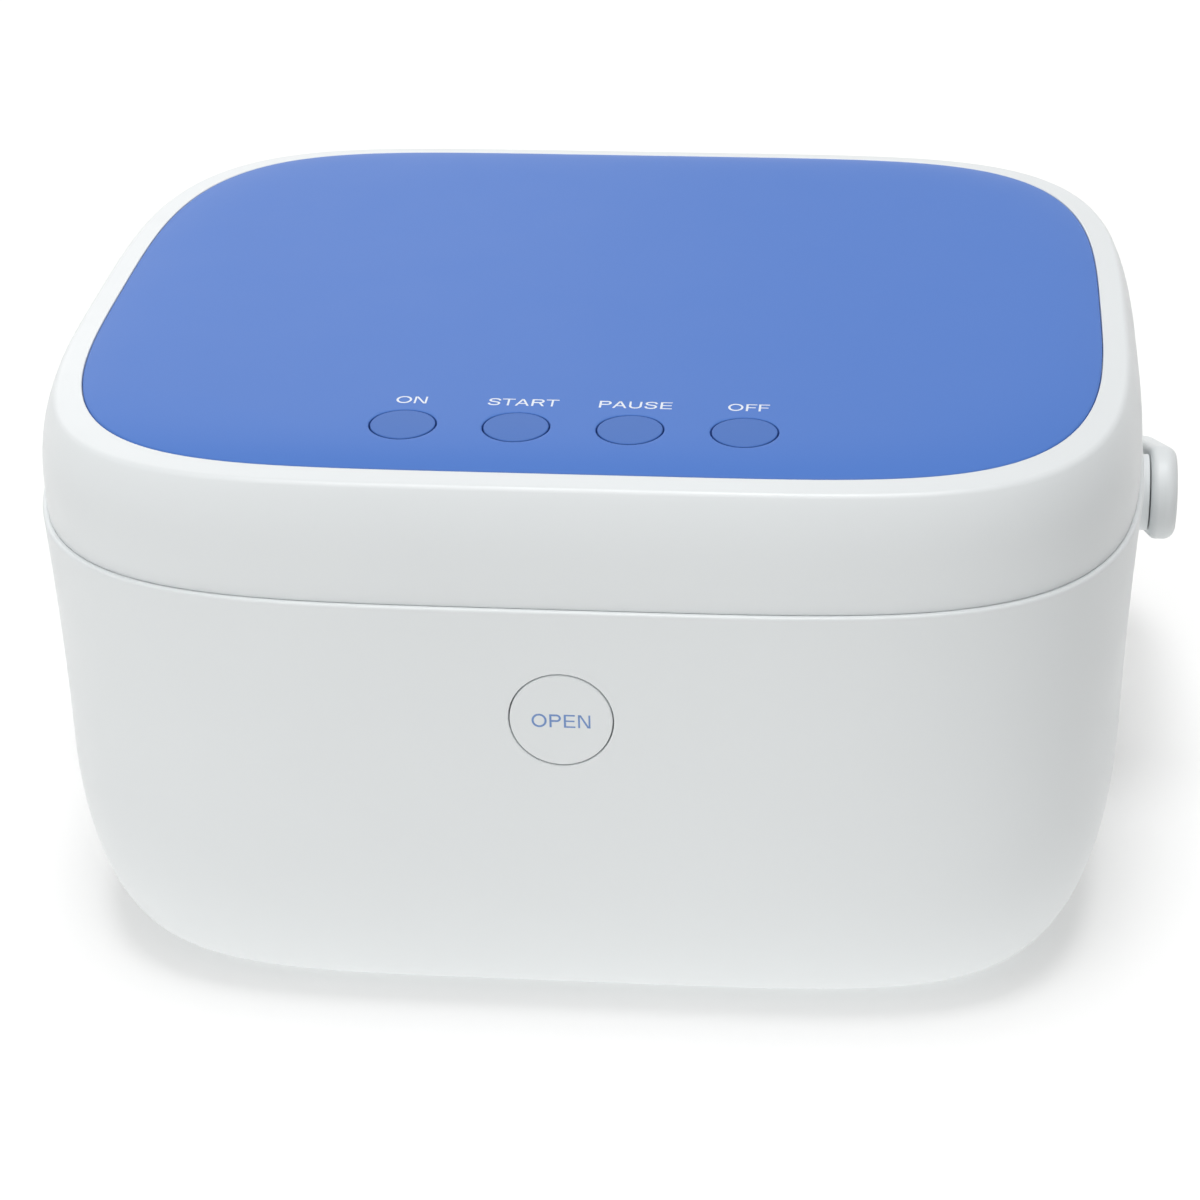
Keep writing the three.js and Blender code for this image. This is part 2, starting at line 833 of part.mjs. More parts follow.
function buildDriverBoard() {
  const z0 = baseZ + plate.thickness + driver.standoff + gap;
  const top = z0 + driver.thickness;
  const half = driver.coilSize / 2;
  const canX = driver.halfLength / 2;
  const connectorHalf = driver.connectorSize / 2;
  return joined(
    slab(0, 0, driver.halfLength, driver.halfWidth, driver.postInset / 2, z0, top),
    slab(-canX, 0, half, half, driver.postInset / 2, top - bond, top + driver.coilHeight),
    rod(
      driver.canRadius,
      point(canX / 2, half, top - bond),
      point(canX / 2, half, top + driver.canHeight),
      smallSides,
    ),
    rod(
      driver.canRadius,
      point(canX / 2, -half, top - bond),
      point(canX / 2, -half, top + driver.canHeight),
      smallSides,
    ),
    slab(canX * 1.5, 0, connectorHalf, half, connectorHalf / 4, top - bond, top + driver.connectorSize),
  );
}

function buildInlet() {
  const wall = inletWallY() + gap * 2;
  const z = inletZ();
  // Drawn flat and then stood on its edge, so that its mouth faces the rear
  const stand = (halfX, halfY, corner, from, to) => {
    const shape = slab(0, 0, halfX, halfY, corner, from, to);
    return shape.rotate([-90, 0, 0]).translate([inlet.x, 0, z]);
  };
  const flange = stand(
    inlet.halfWidth + inlet.flange,
    inlet.halfHeight + inlet.flange,
    inlet.corner,
    wall,
    wall + inlet.flangeThickness,
  );
  const housing = stand(
    inlet.halfWidth,
    inlet.halfHeight,
    inlet.corner,
    wall + inlet.flangeThickness - inlet.length,
    wall + bond,
  );
  const mouth = stand(
    inlet.mouthHalfWidth,
    inlet.mouthHalfHeight,
    inlet.mouthHalfHeight - gap,
    wall + inlet.flangeThickness - inlet.mouthDepth,
    wall + inlet.flangeThickness + overrun,
  );
  let socket = cut(joined(flange, housing), mouth);
  for (const side of [-1, 1]) {
    const x = inlet.x + side * inlet.pinPlace;
    const from = wall + inlet.flangeThickness - inlet.mouthDepth - bond;
    const pin = rod(
      inlet.pinRadius,
      point(x, from, z),
      point(x, wall + inlet.flangeThickness - inlet.pinRecess, z),
      smallSides,
    );
    socket = joined(socket, pin);
  }
  return socket;
}

// Latch

function leverY() {
  return frontInner + bracket.room + bracket.thickness + gap + lever.hubRadius;
}

function pivotOfLeverZ() {
  return buttonZ + lever.rise;
}

function hookZ() {
  return flangeTop - tub.wall;
}

function catchY() {
  return leverY() + lever.thickness / 2 + lever.nose + latchCatch.slip + latchCatch.lip;
}

function buildButton(bodyBlank) {
  const flangeStart = frontInner + gap;
  const cap = rod(
    button.holeRadius - gap,
    point(0, -body.halfDepth - overrun, buttonZ),
    point(0, flangeStart + button.flangeThickness, buttonZ),
    2 * roundSides,
  );
  const flush = cap.intersect(bodyBlank);
  const flange = rod(
    button.holeRadius + button.flangeExtra,
    point(0, flangeStart, buttonZ),
    point(0, flangeStart + button.flangeThickness, buttonZ),
    roundSides,
  );
  const tipEnd = leverY() - lever.thickness / 2 - gap;
  const stem = rod(
    button.stemRadius,
    point(0, flangeStart, buttonZ),
    point(0, tipEnd - button.tipLength, buttonZ),
    smallSides,
  );
  const tip = rod(
    button.tipRadius,
    point(0, tipEnd - button.tipLength - bond, buttonZ),
    point(0, tipEnd, buttonZ),
    smallSides,
  );
  return joined(flush, flange, stem, tip);
}

function buildBracket() {
  const front = frontInner + bracket.room;
  const back = front + bracket.thickness;
  const web = block(
    [-bracket.halfWidth, bracket.halfWidth],
    [front, back],
    [buttonZ - bracket.halfHeight, buttonZ + bracket.halfHeight],
  );
  const stemHole = rod(
    button.stemRadius + gap,
    point(0, front - overrun, buttonZ),
    point(0, back + overrun, buttonZ),
    smallSides,
  );
  let frame = cut(web, stemHole);
  const pivot = pivotOfLeverZ();
  for (const side of [-1, 1]) {
    const inside = side * bracket.cheekPlace;
    const outside = side * (bracket.cheekPlace + bracket.cheekThickness);
    const [x0, x1] = [Math.min(inside, outside), Math.max(inside, outside)];
    const ear = rod(bracket.cheekRadius, point(x0, leverY(), pivot), point(x1, leverY(), pivot));
    const neck = block([x0, x1], [front, leverY()], [buttonZ, pivot + bracket.cheekRadius * 0.8]);
    const root = block(
      [x0, x1],
      [front, leverY() + bracket.cheekRadius * 0.8],
      [buttonZ + bracket.halfHeight - bracket.thickness, pivot],
    );
    const hole = rod(
      latchPin.radius + gap,
      point(x0 - overrun, leverY(), pivot),
      point(x1 + overrun, leverY(), pivot),
      smallSides,
    );
    frame = cut(joined(frame, ear, neck, root), hole);
  }
  return frame;
}

function buildLatchPin() {
  const end = bracket.cheekPlace + bracket.cheekThickness + gap;
  const [y, z] = [leverY(), pivotOfLeverZ()];
  return joined(
    rod(latchPin.radius, point(-end, y, z), point(end, y, z), smallSides),
    rod(latchPin.headRadius, point(-end - latchPin.headThickness, y, z), point(-end, y, z), smallSides),
    rod(latchPin.headRadius, point(end, y, z), point(end + latchPin.headThickness, y, z), smallSides),
  );
}

// The lever: a hub on the pin, a tail that the button's tip pushes and an arm with a hook at its top
function buildLever() {
  const [y, z] = [leverY(), pivotOfLeverZ()];
  const half = lever.thickness / 2;
  const wide = [-lever.halfWidth, lever.halfWidth];
  const noseZ = hookZ();
  const hub = rod(lever.hubRadius, point(wide[0], y, z), point(wide[1], y, z), smallSides);
  const arm = block(wide, [y - half, y + half], [buttonZ - lever.tail, noseZ + lever.noseHeight]);
  const ramp = new THREE.Shape();
  ramp.moveTo(0, 0);
  ramp.lineTo(half + lever.nose, 0);
  ramp.lineTo(half, lever.noseHeight);
  ramp.lineTo(0, lever.noseHeight);
  const hook = new THREE.ExtrudeGeometry(ramp, { depth: 2 * lever.halfWidth, bevelEnabled: false });
  hook.applyMatrix4(new THREE.Matrix4().makeBasis(point(0, 1, 0), point(0, 0, 1), point(1, 0, 0)));
  hook.translate(wide[0], y, noseZ);
  const bore = rod(
    latchPin.radius + gap,
    point(wide[0] - overrun, y, z),
    point(wide[1] + overrun, y, z),
    smallSides,
  );
  return cut(joined(hub, arm, asSolid(hook)), bore);
}

// The catch: a pad under the liner's edge and a tongue whose lip faces the hook
function buildCatch() {
  const padTop = seamZ + liner.lift - gap;
  const tongueFront = catchY();
  const lipTop = hookZ() - gap;
  const wide = [-latchCatch.halfWidth, latchCatch.halfWidth];
  const tongueEnds = [tongueFront, tongueFront + latchCatch.tongue];
  return joined(
    block(
      wide,
      [tongueEnds[0] - latchCatch.padHalfDepth, tongueEnds[1]],
      [padTop - latchCatch.padThickness, padTop],
    ),
    block(wide, tongueEnds, [lipTop - latchCatch.lipHeight, padTop]),
    block(wide, [tongueFront - latchCatch.lip, tongueEnds[1]], [lipTop - latchCatch.lipHeight, lipTop]),
  );
}

// Lid, panel and keys

function buildLidShell() {
  const recessTop = lid.rimHeight - lid.recess;
  const recessBottom = recessTop - lid.ledgeThickness;
  const rings = lidProfile().map(([inset, height]) => lidRing(height, inset));
  const ledgeInset = lid.panelInset + lid.ledge;
  const innerTop = lidInset(recessBottom) + lid.wall;
  const innerMiddle = recessBottom / 2;
  rings.push(
    lidRing(recessTop, lid.panelInset),
    lidRing(recessTop, ledgeInset),
    lidRing(recessBottom, ledgeInset),
    lidRing(recessBottom, innerTop),
    lidRing(innerMiddle, lidInset(innerMiddle) + lid.wall),
    lidRing(seamGap / 2, lidInset(seamGap / 2) + lid.wall),
  );
  let shell = loft(rings, true);
  for (const share of bossAngleShares) {
    const angle = share * 2 * Math.PI;
    const inset = innerTop + lid.bossRadius;
    const plan = [body.halfWidth - inset, body.halfDepth - inset, seamPower, angle];
    const foot = outlinePoint(...plan, seamZ + liner.lift + liner.thickness + gap);
    const top = outlinePoint(...plan, seamZ + recessBottom + bond);
    shell = joined(shell, rod(lid.bossRadius, foot, top, smallSides));
  }
  return shell;
}

function keyPlaces() {
  return keyNames.map((name, i) => [name, key.middleX + (i - (keyNames.length - 1) / 2) * key.pitch]);
}

// Height of the crown's surface over a point of the panel
function crownZ(x, y) {
  const across = Math.abs(x / panelHalfWidth);
  const along = Math.abs(y / panelHalfDepth);
  const share = Math.max(across, along);
  return rimZ + crownRise(share);
}

// Lowest point of the panel's underside over a key
function keyUnderside() {
  return crownZ(0, keyY - key.holeRadius - key.flangeExtra) - panel.thickness;
}

function boardTop() {
  const flangeBottom = keyUnderside() - gap - key.flangeThickness;
  const stemEnd = flangeBottom - key.stemLength;
  return stemEnd - key.travel - control.spare - control.nubHeight - control.switchHeight;
}

function buildPanel() {
  const top = crownRowShares.map((share) => panelRing(share, 0));
  const back = crownBackShares.map((share) => panelRing(share, panel.thickness));
  let sheet = loft([...top.reverse(), ...back]);
  for (const [, x] of keyPlaces()) {
    sheet = cut(
      sheet,
      rod(
        key.holeRadius,
        point(x, keyY, rimZ - overrun * 3),
        point(x, keyY, rimZ + overrun * 2),
        roundSides + 4,
      ),
    );
  }
  for (const side of [-1, 1]) {
    const x = side * (control.halfLength - control.postInset);
    const root = point(x, keyY, crownZ(x, keyY) - panel.thickness / 2);
    sheet = joined(sheet, rod(control.postRadius, point(x, keyY, boardTop() + gap), root, smallSides));
  }
  return sheet;
}

function buildKey(x, crown) {
  const underside = keyUnderside() - gap;
  const flangeBottom = underside - key.flangeThickness;
  const cap = rod(
    key.holeRadius - gap,
    point(x, keyY, flangeBottom),
    point(x, keyY, rimZ + overrun * 2),
    roundSides + 4,
  );
  const flange = rod(
    key.holeRadius + key.flangeExtra,
    point(x, keyY, flangeBottom),
    point(x, keyY, underside),
    roundSides,
  );
  const stem = rod(
    key.stemRadius,
    point(x, keyY, flangeBottom - key.stemLength),
    point(x, keyY, flangeBottom + bond),
    smallSides,
  );
  return joined(cap.intersect(crown), flange, stem);
}

function buildControlBoard() {
  const top = boardTop();
  let sheet = slab(
    0,
    keyY,
    control.halfLength,
    control.halfWidth,
    control.postInset / 3,
    top - control.thickness,
    top,
  );
  for (const [, x] of keyPlaces()) {
    const half = control.switchSize / 2;
    const switchTop = top + control.switchHeight;
    sheet = joined(
      sheet,
      block([x - half, x + half], [keyY - half, keyY + half], [top - bond, switchTop]),
      rod(
        control.nubRadius,
        point(x, keyY, switchTop - bond),
        point(x, keyY, switchTop + control.nubHeight),
        smallSides,
      ),
    );
  }
  const under = top - control.thickness;
  const chip = control.chipSize / 2;
  const plug = control.connectorLength / 2;
  const plugX = control.halfLength / 2;
  return joined(
    sheet,
    block([-chip, chip], [keyY - chip, keyY + chip], [under - control.chipHeight, under + bond]),
    block([plugX - plug, plugX + plug], [keyY, keyY + chip], [under - control.connectorHeight, under + bond]),
  );
}

// Liner: an edge flange and a raised dish over the chamber, as one sheet
function linerRings(offset) {
  const edge = liner.edgeGap + lid.wall;
  const flat = (inset, height) => lidRing(liner.lift + height + offset, inset);
  return [flat(edge, 0), flat(liner.dishInset, 0), flat(liner.dishInset + liner.dishSlope, liner.dish)];
}

function linerTop() {
  return seamZ + liner.lift + liner.dish + liner.thickness;
}

function buildLiner() {
  const under = linerRings(0);
  const over = linerRings(liner.thickness);
  let sheet = loft([...under.reverse(), ...over]);
  const opening = windowCut(seamZ - overrun, linerTop() + overrun, -lamp.rebate);
  sheet = cut(sheet, opening);
  for (const side of [-1, 1]) {
    const x = side * (lamp.halfLength - lamp.postInset);
    const base = linerTop();
    const post = block(
      [x - lamp.postRadius / 2, x + lamp.postRadius / 2],
      [-lamp.halfWidth - lamp.postRadius * 2, -lamp.halfWidth - gap],
      [base - bond, base + lamp.boardGap + lamp.boardThickness],
    );
    const twin = block(
      [x - lamp.postRadius / 2, x + lamp.postRadius / 2],
      [lamp.halfWidth + gap, lamp.halfWidth + lamp.postRadius * 2],
      [base - bond, base + lamp.boardGap + lamp.boardThickness],
    );
    sheet = joined(sheet, post, twin);
  }
  const magnetSeat = magnetPlace(seamZ + liner.lift);
  return cut(
    sheet,
    rod(
      magnet.radius + gap,
      magnetSeat,
      up(magnetSeat, liner.thickness + overrun),
      smallSides,
    ).translate([0, 0, -liner.lift]),
  );
}

function magnetPlace(z) {
  return point(-magnet.widthShare * body.halfWidth, -(body.halfDepth - magnet.fromFront), z);
}

function buildSeal() {
  const bottom = flangeTop + gap;
  const top = seamZ + liner.lift - gap;
  const heights = [bottom, top].map((z) => z - seamZ);
  const inset = lid.wall + seal.inset;
  return loft(
    [
      lidRing(heights[0], inset + seal.width / 4),
      lidRing(heights[1], inset),
      lidRing(heights[1], inset + seal.width),
      lidRing(heights[0], inset + (seal.width * 3) / 4),
    ],
    true,
  );
}

// Hinge

function buildKnuckle() {
  const ends = [-hinge.knuckleHalf, hinge.knuckleHalf];
  const wallY = body.halfDepth + gap + lid.bulge;
  const barrel = rod(hinge.radius, point(ends[0], hingeY, seamZ), point(ends[1], hingeY, seamZ));
  const flange = block(
    ends,
    [wallY, wallY + hinge.flangeThickness],
    [seamZ + seamGap, seamZ + hinge.flangeHeight],
  );
  const web = block(ends, [wallY, hingeY], [seamZ + seamGap, seamZ + hinge.radius - bond]);
  const room = rod(
    hinge.springRoom,
    point(ends[0] - overrun, hingeY, seamZ),
    point(ends[1] + overrun, hingeY, seamZ),
    smallSides,
  );
  return cut(joined(barrel, flange, web), room);
}

function buildEar(side) {
  const inside = hinge.knuckleHalf + gap;
  const ends = [side * inside, side * (inside + hinge.earWidth)].sort((a, b) => a - b);
  const wallY = body.halfDepth + gap - bodyInset(body.ledgeDrop);
  const plateEnds = [seamZ - hinge.earPlateDrop, seamZ - seamGap];
  const barrel = rod(hinge.radius, point(ends[0], hingeY, seamZ), point(ends[1], hingeY, seamZ));
  const backPlate = block(ends, [wallY, wallY + hinge.flangeThickness], plateEnds);
  const neck = block(ends, [wallY, hingeY], [seamZ - hinge.radius - hinge.flangeThickness, seamZ - seamGap]);
  const bore = rod(
    hinge.pinRadius + gap,
    point(ends[0] - overrun, hingeY, seamZ),
    point(ends[1] + overrun, hingeY, seamZ),
    smallSides,
  );
  return cut(joined(barrel, backPlate, neck), bore);
}

function buildHingePin() {
  const end = hinge.knuckleHalf + gap + hinge.earWidth + gap;
  const head = (side) =>
    rod(
      hinge.headRadius,
      point(side * end, hingeY, seamZ),
      point(side * (end + hinge.headThickness), hingeY, seamZ),
      smallSides,
    );
  return joined(
    rod(hinge.pinRadius, point(-end - bond, hingeY, seamZ), point(end + bond, hingeY, seamZ), smallSides),
    head(-1),
    head(1),
  );
}

// Handle, drawn flat with its pivot line on the X axis and its arms along +Y

// A section with round corners, across the arm's thickness and its width
function handleSection(halfThickness, halfWidth) {
  const inner = Math.min(handle.innerFillet, halfWidth);
  const outer = Math.min(handle.outerFillet, halfWidth);
  const corners = [
    [halfThickness - outer, halfWidth - outer, outer, 0],
    [-halfThickness + inner, halfWidth - inner, inner, 1],
    [-halfThickness + inner, -halfWidth + inner, inner, 2],
    [halfThickness - outer, -halfWidth + outer, outer, 3],
  ];
  return corners.flatMap(([across, rise, radius, quarter]) =>
    [0, 0.5, 1].map((share) => {
      const angle = ((quarter + share) * Math.PI) / 2;
      return [across + radius * Math.cos(angle), rise + radius * Math.sin(angle)];
    }),
  );
}

function handleRing(middle, outward, halfThickness, halfWidth) {
  return handleSection(halfThickness, halfWidth).map(([across, rise]) =>
    middle.clone().addScaledVector(outward, across).add(point(0, 0, rise)),
  );
}

function buildHandle() {
  const armMiddle = (armInner + armOuter) / 2;
  const half = handle.armThickness / 2;
  const gripHalf = handle.gripThickness / 2;
  const bend = handle.cornerRadius;
  const rightRings = [];
  for (const angle of [radians(8), radians(25), radians(45), radians(65), radians(90)]) {
    const place = point(armMiddle, -handle.halfWidth * Math.cos(angle), 0);
    rightRings.push(handleRing(place, point(1, 0, 0), half, handle.halfWidth * Math.sin(angle)));
  }
  const bendMiddle = point(armInner - bend, handleReach - bend, 0);
  const bendRows = 8;
  for (let i = 0; i <= bendRows; i++) {
    const angle = ((i / bendRows) * Math.PI) / 2;
    const outward = point(Math.cos(angle), Math.sin(angle), 0);
    const thickness = half + (gripHalf - half) * (i / bendRows);
    const place = bendMiddle.clone().addScaledVector(outward, bend + thickness);
    rightRings.push(handleRing(place, outward, thickness, handle.halfWidth));
  }
  const mirrored = rightRings
    .map((ring) => ring.map((p) => point(-p.x, p.y, p.z)))
    .reverse();
  let bail = loft([...rightRings, ...mirrored]);
  for (const side of [-1, 1]) {
    const bore = rod(
      handle.pinRadius + gap,
      point(side * (armInner - overrun), 0, 0),
      point(side * (armOuter + overrun), 0, 0),
      smallSides,
    );
    const seatDepth = gap + handle.headThickness + gap + handle.capThickness;
    const seat = rod(
      handle.headRadius + gap,
      point(side * (armOuter - seatDepth), 0, 0),
      point(side * (armOuter + overrun), 0, 0),
    );
    bail = cut(bail, bore, seat);
  }
  return bail;
}

function buildHandleCap(side) {
  const inside = armOuter - handle.capThickness;
  return rod(handle.headRadius, point(side * inside, 0, 0), point(side * armOuter, 0, 0));
}

// A shouldered side pin: its head in the arm, its shank through the boss and a nut inside the wall
function buildHandlePin(side) {
  const headEnd = armOuter - handle.capThickness - gap;
  const headStart = headEnd - handle.headThickness;
  const place = (x) => point(side * x, handle.pivotY, pivotZ);
  const nutEnd = sideInner - gap;
  return joined(
    rod(handle.headRadius - gap, place(headStart), place(headEnd)),
    rod(handle.pinRadius, place(sideInner - handle.pinInside), place(headStart + bond), smallSides),
    rod(handle.nutRadius, place(nutEnd - handle.nutThickness), place(nutEnd), 6),
  );
}

// Assembly

const bodyBlank = bodySolid(0, body.height, 0);
add("base_shell", buildBaseShell(), finishes.whiteShell);
add("base_plate", buildBasePlate(), finishes.whiteShell);
footPlaces().forEach((place, i) => add(`foot_${i + 1}`, buildFoot(place), finishes.rubber));
screwPlaces().forEach((place, i) => add(`base_screw_${i + 1}`, buildPlateScrew(place), finishes.steel));

add("chamber_tub", buildTub(), finishes.steel);
add("wire_rack", buildRack(), finishes.steel);
const baseWindowTop = tubFloor - tub.wall - gap;
const baseWindowBottom = baseWindowTop - lamp.windowThickness;
add("base_lamp_window", windowCut(baseWindowBottom, baseWindowTop, 0), finishes.glass);
const baseBoardTop = baseWindowBottom - gap - lamp.diodeHeight;
add("base_lamp_board", buildLampBoard(baseBoardTop - lamp.boardThickness, 1), finishes.board);
add("driver_board", buildDriverBoard(), finishes.board);
add("power_inlet", buildInlet(), finishes.darkPlastic);

add("open_button", buildButton(bodyBlank), finishes.whiteShell);
const springStart = frontInner + gap + button.flangeThickness + gap + buttonSpring.wireRadius;
const springEnd = frontInner + bracket.room - gap - buttonSpring.wireRadius;
const buttonCoil = helix(
  point(0, springStart, buttonZ),
  point(0, springEnd, buttonZ),
  buttonSpring.meanRadius,
  buttonSpring.wireRadius,
  buttonSpring.turns,
);
add("button_spring", buttonCoil, finishes.steel);
add("latch_bracket", buildBracket(), finishes.linerPlastic);
add("latch_pin", buildLatchPin(), finishes.steel);
add("latch_lever", buildLever(), finishes.linerPlastic);

add("lid_shell", buildLidShell(), finishes.whiteShell);
add("top_panel", buildPanel(), finishes.bluePanel);
const crown = crownBlock();
for (const [name, x] of keyPlaces()) add(name, buildKey(x, crown), finishes.bluePanel);
add("control_board", buildControlBoard(), finishes.board);
add("lid_liner", buildLiner(), finishes.linerPlastic);
add("lid_seal", buildSeal(), finishes.rubber);
const lidWindowBottom = linerTop() + gap;
const lidWindowTop = lidWindowBottom + lamp.windowThickness;
add("lid_lamp_window", windowCut(lidWindowBottom, lidWindowTop, 0), finishes.glass);
const lidBoardFace = lidWindowTop + gap + lamp.diodeHeight;
add("lid_lamp_board", buildLampBoard(lidBoardFace + lamp.boardThickness, -1), finishes.board);
add("lid_catch", buildCatch(), finishes.linerPlastic);
const magnetFoot = magnetPlace(seamZ + liner.lift + gap);
add(
  "lid_magnet",
  rod(magnet.radius, magnetFoot, up(magnetFoot, magnet.thickness), smallSides),
  finishes.steel,
);
const reedZ = seamZ - body.ledgeDrop - body.ledgeThickness - gap - reed.radius;
const reedEnds = [-reed.halfLength, reed.halfLength].map((x) => magnetPlace(reedZ).add(point(x, 0, 0)));
add("reed_switch", rod(reed.radius, ...reedEnds, smallSides), finishes.darkPlastic);

add("hinge_knuckle", buildKnuckle(), finishes.whiteShell);
add("hinge_ear_left", buildEar(-1), finishes.whiteShell);
add("hinge_ear_right", buildEar(1), finishes.whiteShell);
add("hinge_pin", buildHingePin(), finishes.steel);
const lidCoil = helix(
  point(-lidSpring.halfLength, hingeY, seamZ),
  point(lidSpring.halfLength, hingeY, seamZ),
  lidSpring.meanRadius,
  lidSpring.wireRadius,
  lidSpring.turns,
);
add("lid_spring", lidCoil, finishes.steel);

const bail = new THREE.Group();
bail.position.set(0, handle.pivotY, pivotZ);
bail.rotation.x = -handleRest;
product.add(bail);
add("carry_handle", buildHandle(), finishes.whiteShell, bail);
add("handle_cap_left", buildHandleCap(-1), finishes.whiteShell, bail);
add("handle_cap_right", buildHandleCap(1), finishes.whiteShell, bail);
add("handle_pin_left", buildHandlePin(-1), finishes.steel);
add("handle_pin_right", buildHandlePin(1), finishes.steel);

export default product;
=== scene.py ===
"""Looks of the sterilizer case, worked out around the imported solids.

The moulded skins, wires and turned pieces repeat the solids' formulas on finer grids. Lengths are in
millimetres about the body's middle until a skin becomes a mesh in metres.
"""

import math

import bmesh
import bpy
import numpy as np
from mathutils import Matrix, Vector


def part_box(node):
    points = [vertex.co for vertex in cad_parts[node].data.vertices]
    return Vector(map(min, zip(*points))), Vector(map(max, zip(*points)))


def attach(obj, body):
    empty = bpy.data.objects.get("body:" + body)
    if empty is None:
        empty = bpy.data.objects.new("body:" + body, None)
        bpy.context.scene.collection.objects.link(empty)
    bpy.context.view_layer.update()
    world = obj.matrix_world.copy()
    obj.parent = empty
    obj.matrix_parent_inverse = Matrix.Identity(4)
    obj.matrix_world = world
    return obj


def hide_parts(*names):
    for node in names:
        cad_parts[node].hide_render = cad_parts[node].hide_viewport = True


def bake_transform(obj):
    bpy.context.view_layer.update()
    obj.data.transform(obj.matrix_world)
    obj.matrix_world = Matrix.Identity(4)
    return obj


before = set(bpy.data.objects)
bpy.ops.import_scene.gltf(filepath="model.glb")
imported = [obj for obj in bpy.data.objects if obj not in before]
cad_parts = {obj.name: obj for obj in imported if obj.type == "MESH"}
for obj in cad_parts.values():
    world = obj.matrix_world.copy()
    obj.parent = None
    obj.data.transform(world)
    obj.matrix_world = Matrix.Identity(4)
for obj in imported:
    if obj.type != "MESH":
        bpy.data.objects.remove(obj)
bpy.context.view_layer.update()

MM = 0.001
BODY_MIDDLE_Y = sum(corner.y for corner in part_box("chamber_tub")) / 2

# Sizes that the solids are drawn with
GAP = 0.35
SEAM_EDGE = 0.06
FOOT_HEIGHT = 2.5
HALF_WIDTH, HALF_DEPTH, BODY_HEIGHT = 150.0, 131.7, 122.5
WALL, FLOOR = 2.6, 5.2
TURN_HEIGHT, TURN_INSET = 53.6, 18.0
LEDGE_DROP, LEDGE_THICKNESS, LEDGE_REACH = 5.0, 3.0, 7.5
SEAM_SLOPE, TURN_SLOPE = math.tan(math.radians(4.4)), math.tan(math.radians(1.2))
SEAM_POWER, BASE_POWER, PANEL_POWER = (4.5, 3.6), (5.2, 3.75), (5.5, 3.4)
SEAM_Z = FOOT_HEIGHT + BODY_HEIGHT
TURN_DEPTH = BODY_HEIGHT - TURN_HEIGHT
PLATE_MARGIN, PLATE_THICKNESS, PLATE_LEDGE = 15.5, 2.4, 12.0
SHOULDER_HEIGHT, SHOULDER_INSET, LEAN_POWER, RIM_HEIGHT = 31.4, 5.9, 3.25, 32.4
PANEL_INSET, LID_BULGE, CREASE = 12.6, 0.3, 1.0
RECESS, LID_LEDGE, LID_LEDGE_THICKNESS = 2.95, 7.0, 2.2
PANEL_THICKNESS, CROWN, CROWN_POWER = 2.6, 3.0, 14
RIM_Z = SEAM_Z + RIM_HEIGHT
PANEL_GAP = 0.2
PANEL_HALF = (HALF_WIDTH - PANEL_INSET - PANEL_GAP, HALF_DEPTH - PANEL_INSET - PANEL_GAP)
KEY_RADIUS, KEY_PITCH, KEY_MIDDLE_X, KEY_Y = 8.8, 29.2, 1.0, -97.0
BUTTON_RADIUS, BUTTON_Z = 13.6, SEAM_Z - 31.9
PIVOT_Y, PIVOT_Z = 19.0, SEAM_Z - 32.0
HANDLE_REST = math.radians(22)
BOSS_RADIUS, PIN_RADIUS = 11.0, 4.0
INLET_X, INLET_Z = 60.0, SEAM_Z - 48.0
LID_BOSS_RADIUS, LID_BOSS_SHARES = 3.6, (0.125, 0.25, 0.375, 0.625, 0.71, 0.79, 0.875)
INLET_HALF = (10, 6.5)
CAP_RADIUS, CAP_THICKNESS, NUT_THICKNESS = 7.0, 1.2, 2.0
BRACKET_DISTANCE, BRACKET_THICKNESS, LEVER_DISTANCE, LEVER_HALF = 8.6, 2.0, 3.2, 1.25
BUTTON_TIP, BUTTON_TIP_LENGTH, BUTTON_STEM, BUTTON_TRAVEL = 1.5, 1.6, 3.4, 2.5
BUTTON_FLANGE, BUTTON_FLANGE_THICKNESS = 15.6, 1.8
HOOK_ROOM_HALF, HOOK_NOSE, CATCH_SLIP, CATCH_LIP, CATCH_TONGUE = 13, 2.6, 0.6, 2.6, 2.2
GUIDE_X, GUIDE_RADIUS = 21, 4
KEY_STEM, KEY_STEM_LENGTH, KEY_FLANGE, KEY_FLANGE_THICKNESS = 2.2, 4.2, 10.4, 1.2
SCREW_RADIUS, SCREW_HEAD_RADIUS, SCREW_HEAD_DEPTH = 1.6, 3.2, 1.5
SCREW_BOSS_RADIUS, SCREW_BOSS_ENDS = 4.6, (4.7, 13.2)
BOARD_POST_X, BOARD_POST_RADIUS = 68, 3
VENT_HALF, VENT_PITCH, VENT_COUNT = (1.8, 22, 6), 10, 7
FOOT_RADIUS, FOOT_SEAT, FOOT_MARGIN, SCREW_MARGIN = 9.0, 1.0, 39.0, 6.0
LAMP_OPENING, LAMP_CORNER = (39.5, 7.5), 3.0
SHEET = 1.5
TUB_DEPTH = 88.0

# Steps and limits of the meshes, with the welding distances in metres and the crisp angle in degrees
SIDE_STEPS, ROUND_STEPS, CORNER_STEPS = 48, 64, 8
EVEN_SHARE = 0.62
HALVINGS = 44
WELD, SLIVER = 2e-6, 1e-6
CRISP = 34
EDGE, CUT_EDGE, OVERRUN = 0.2, 0.01, 3.0


# Skins: grids of points and their faces

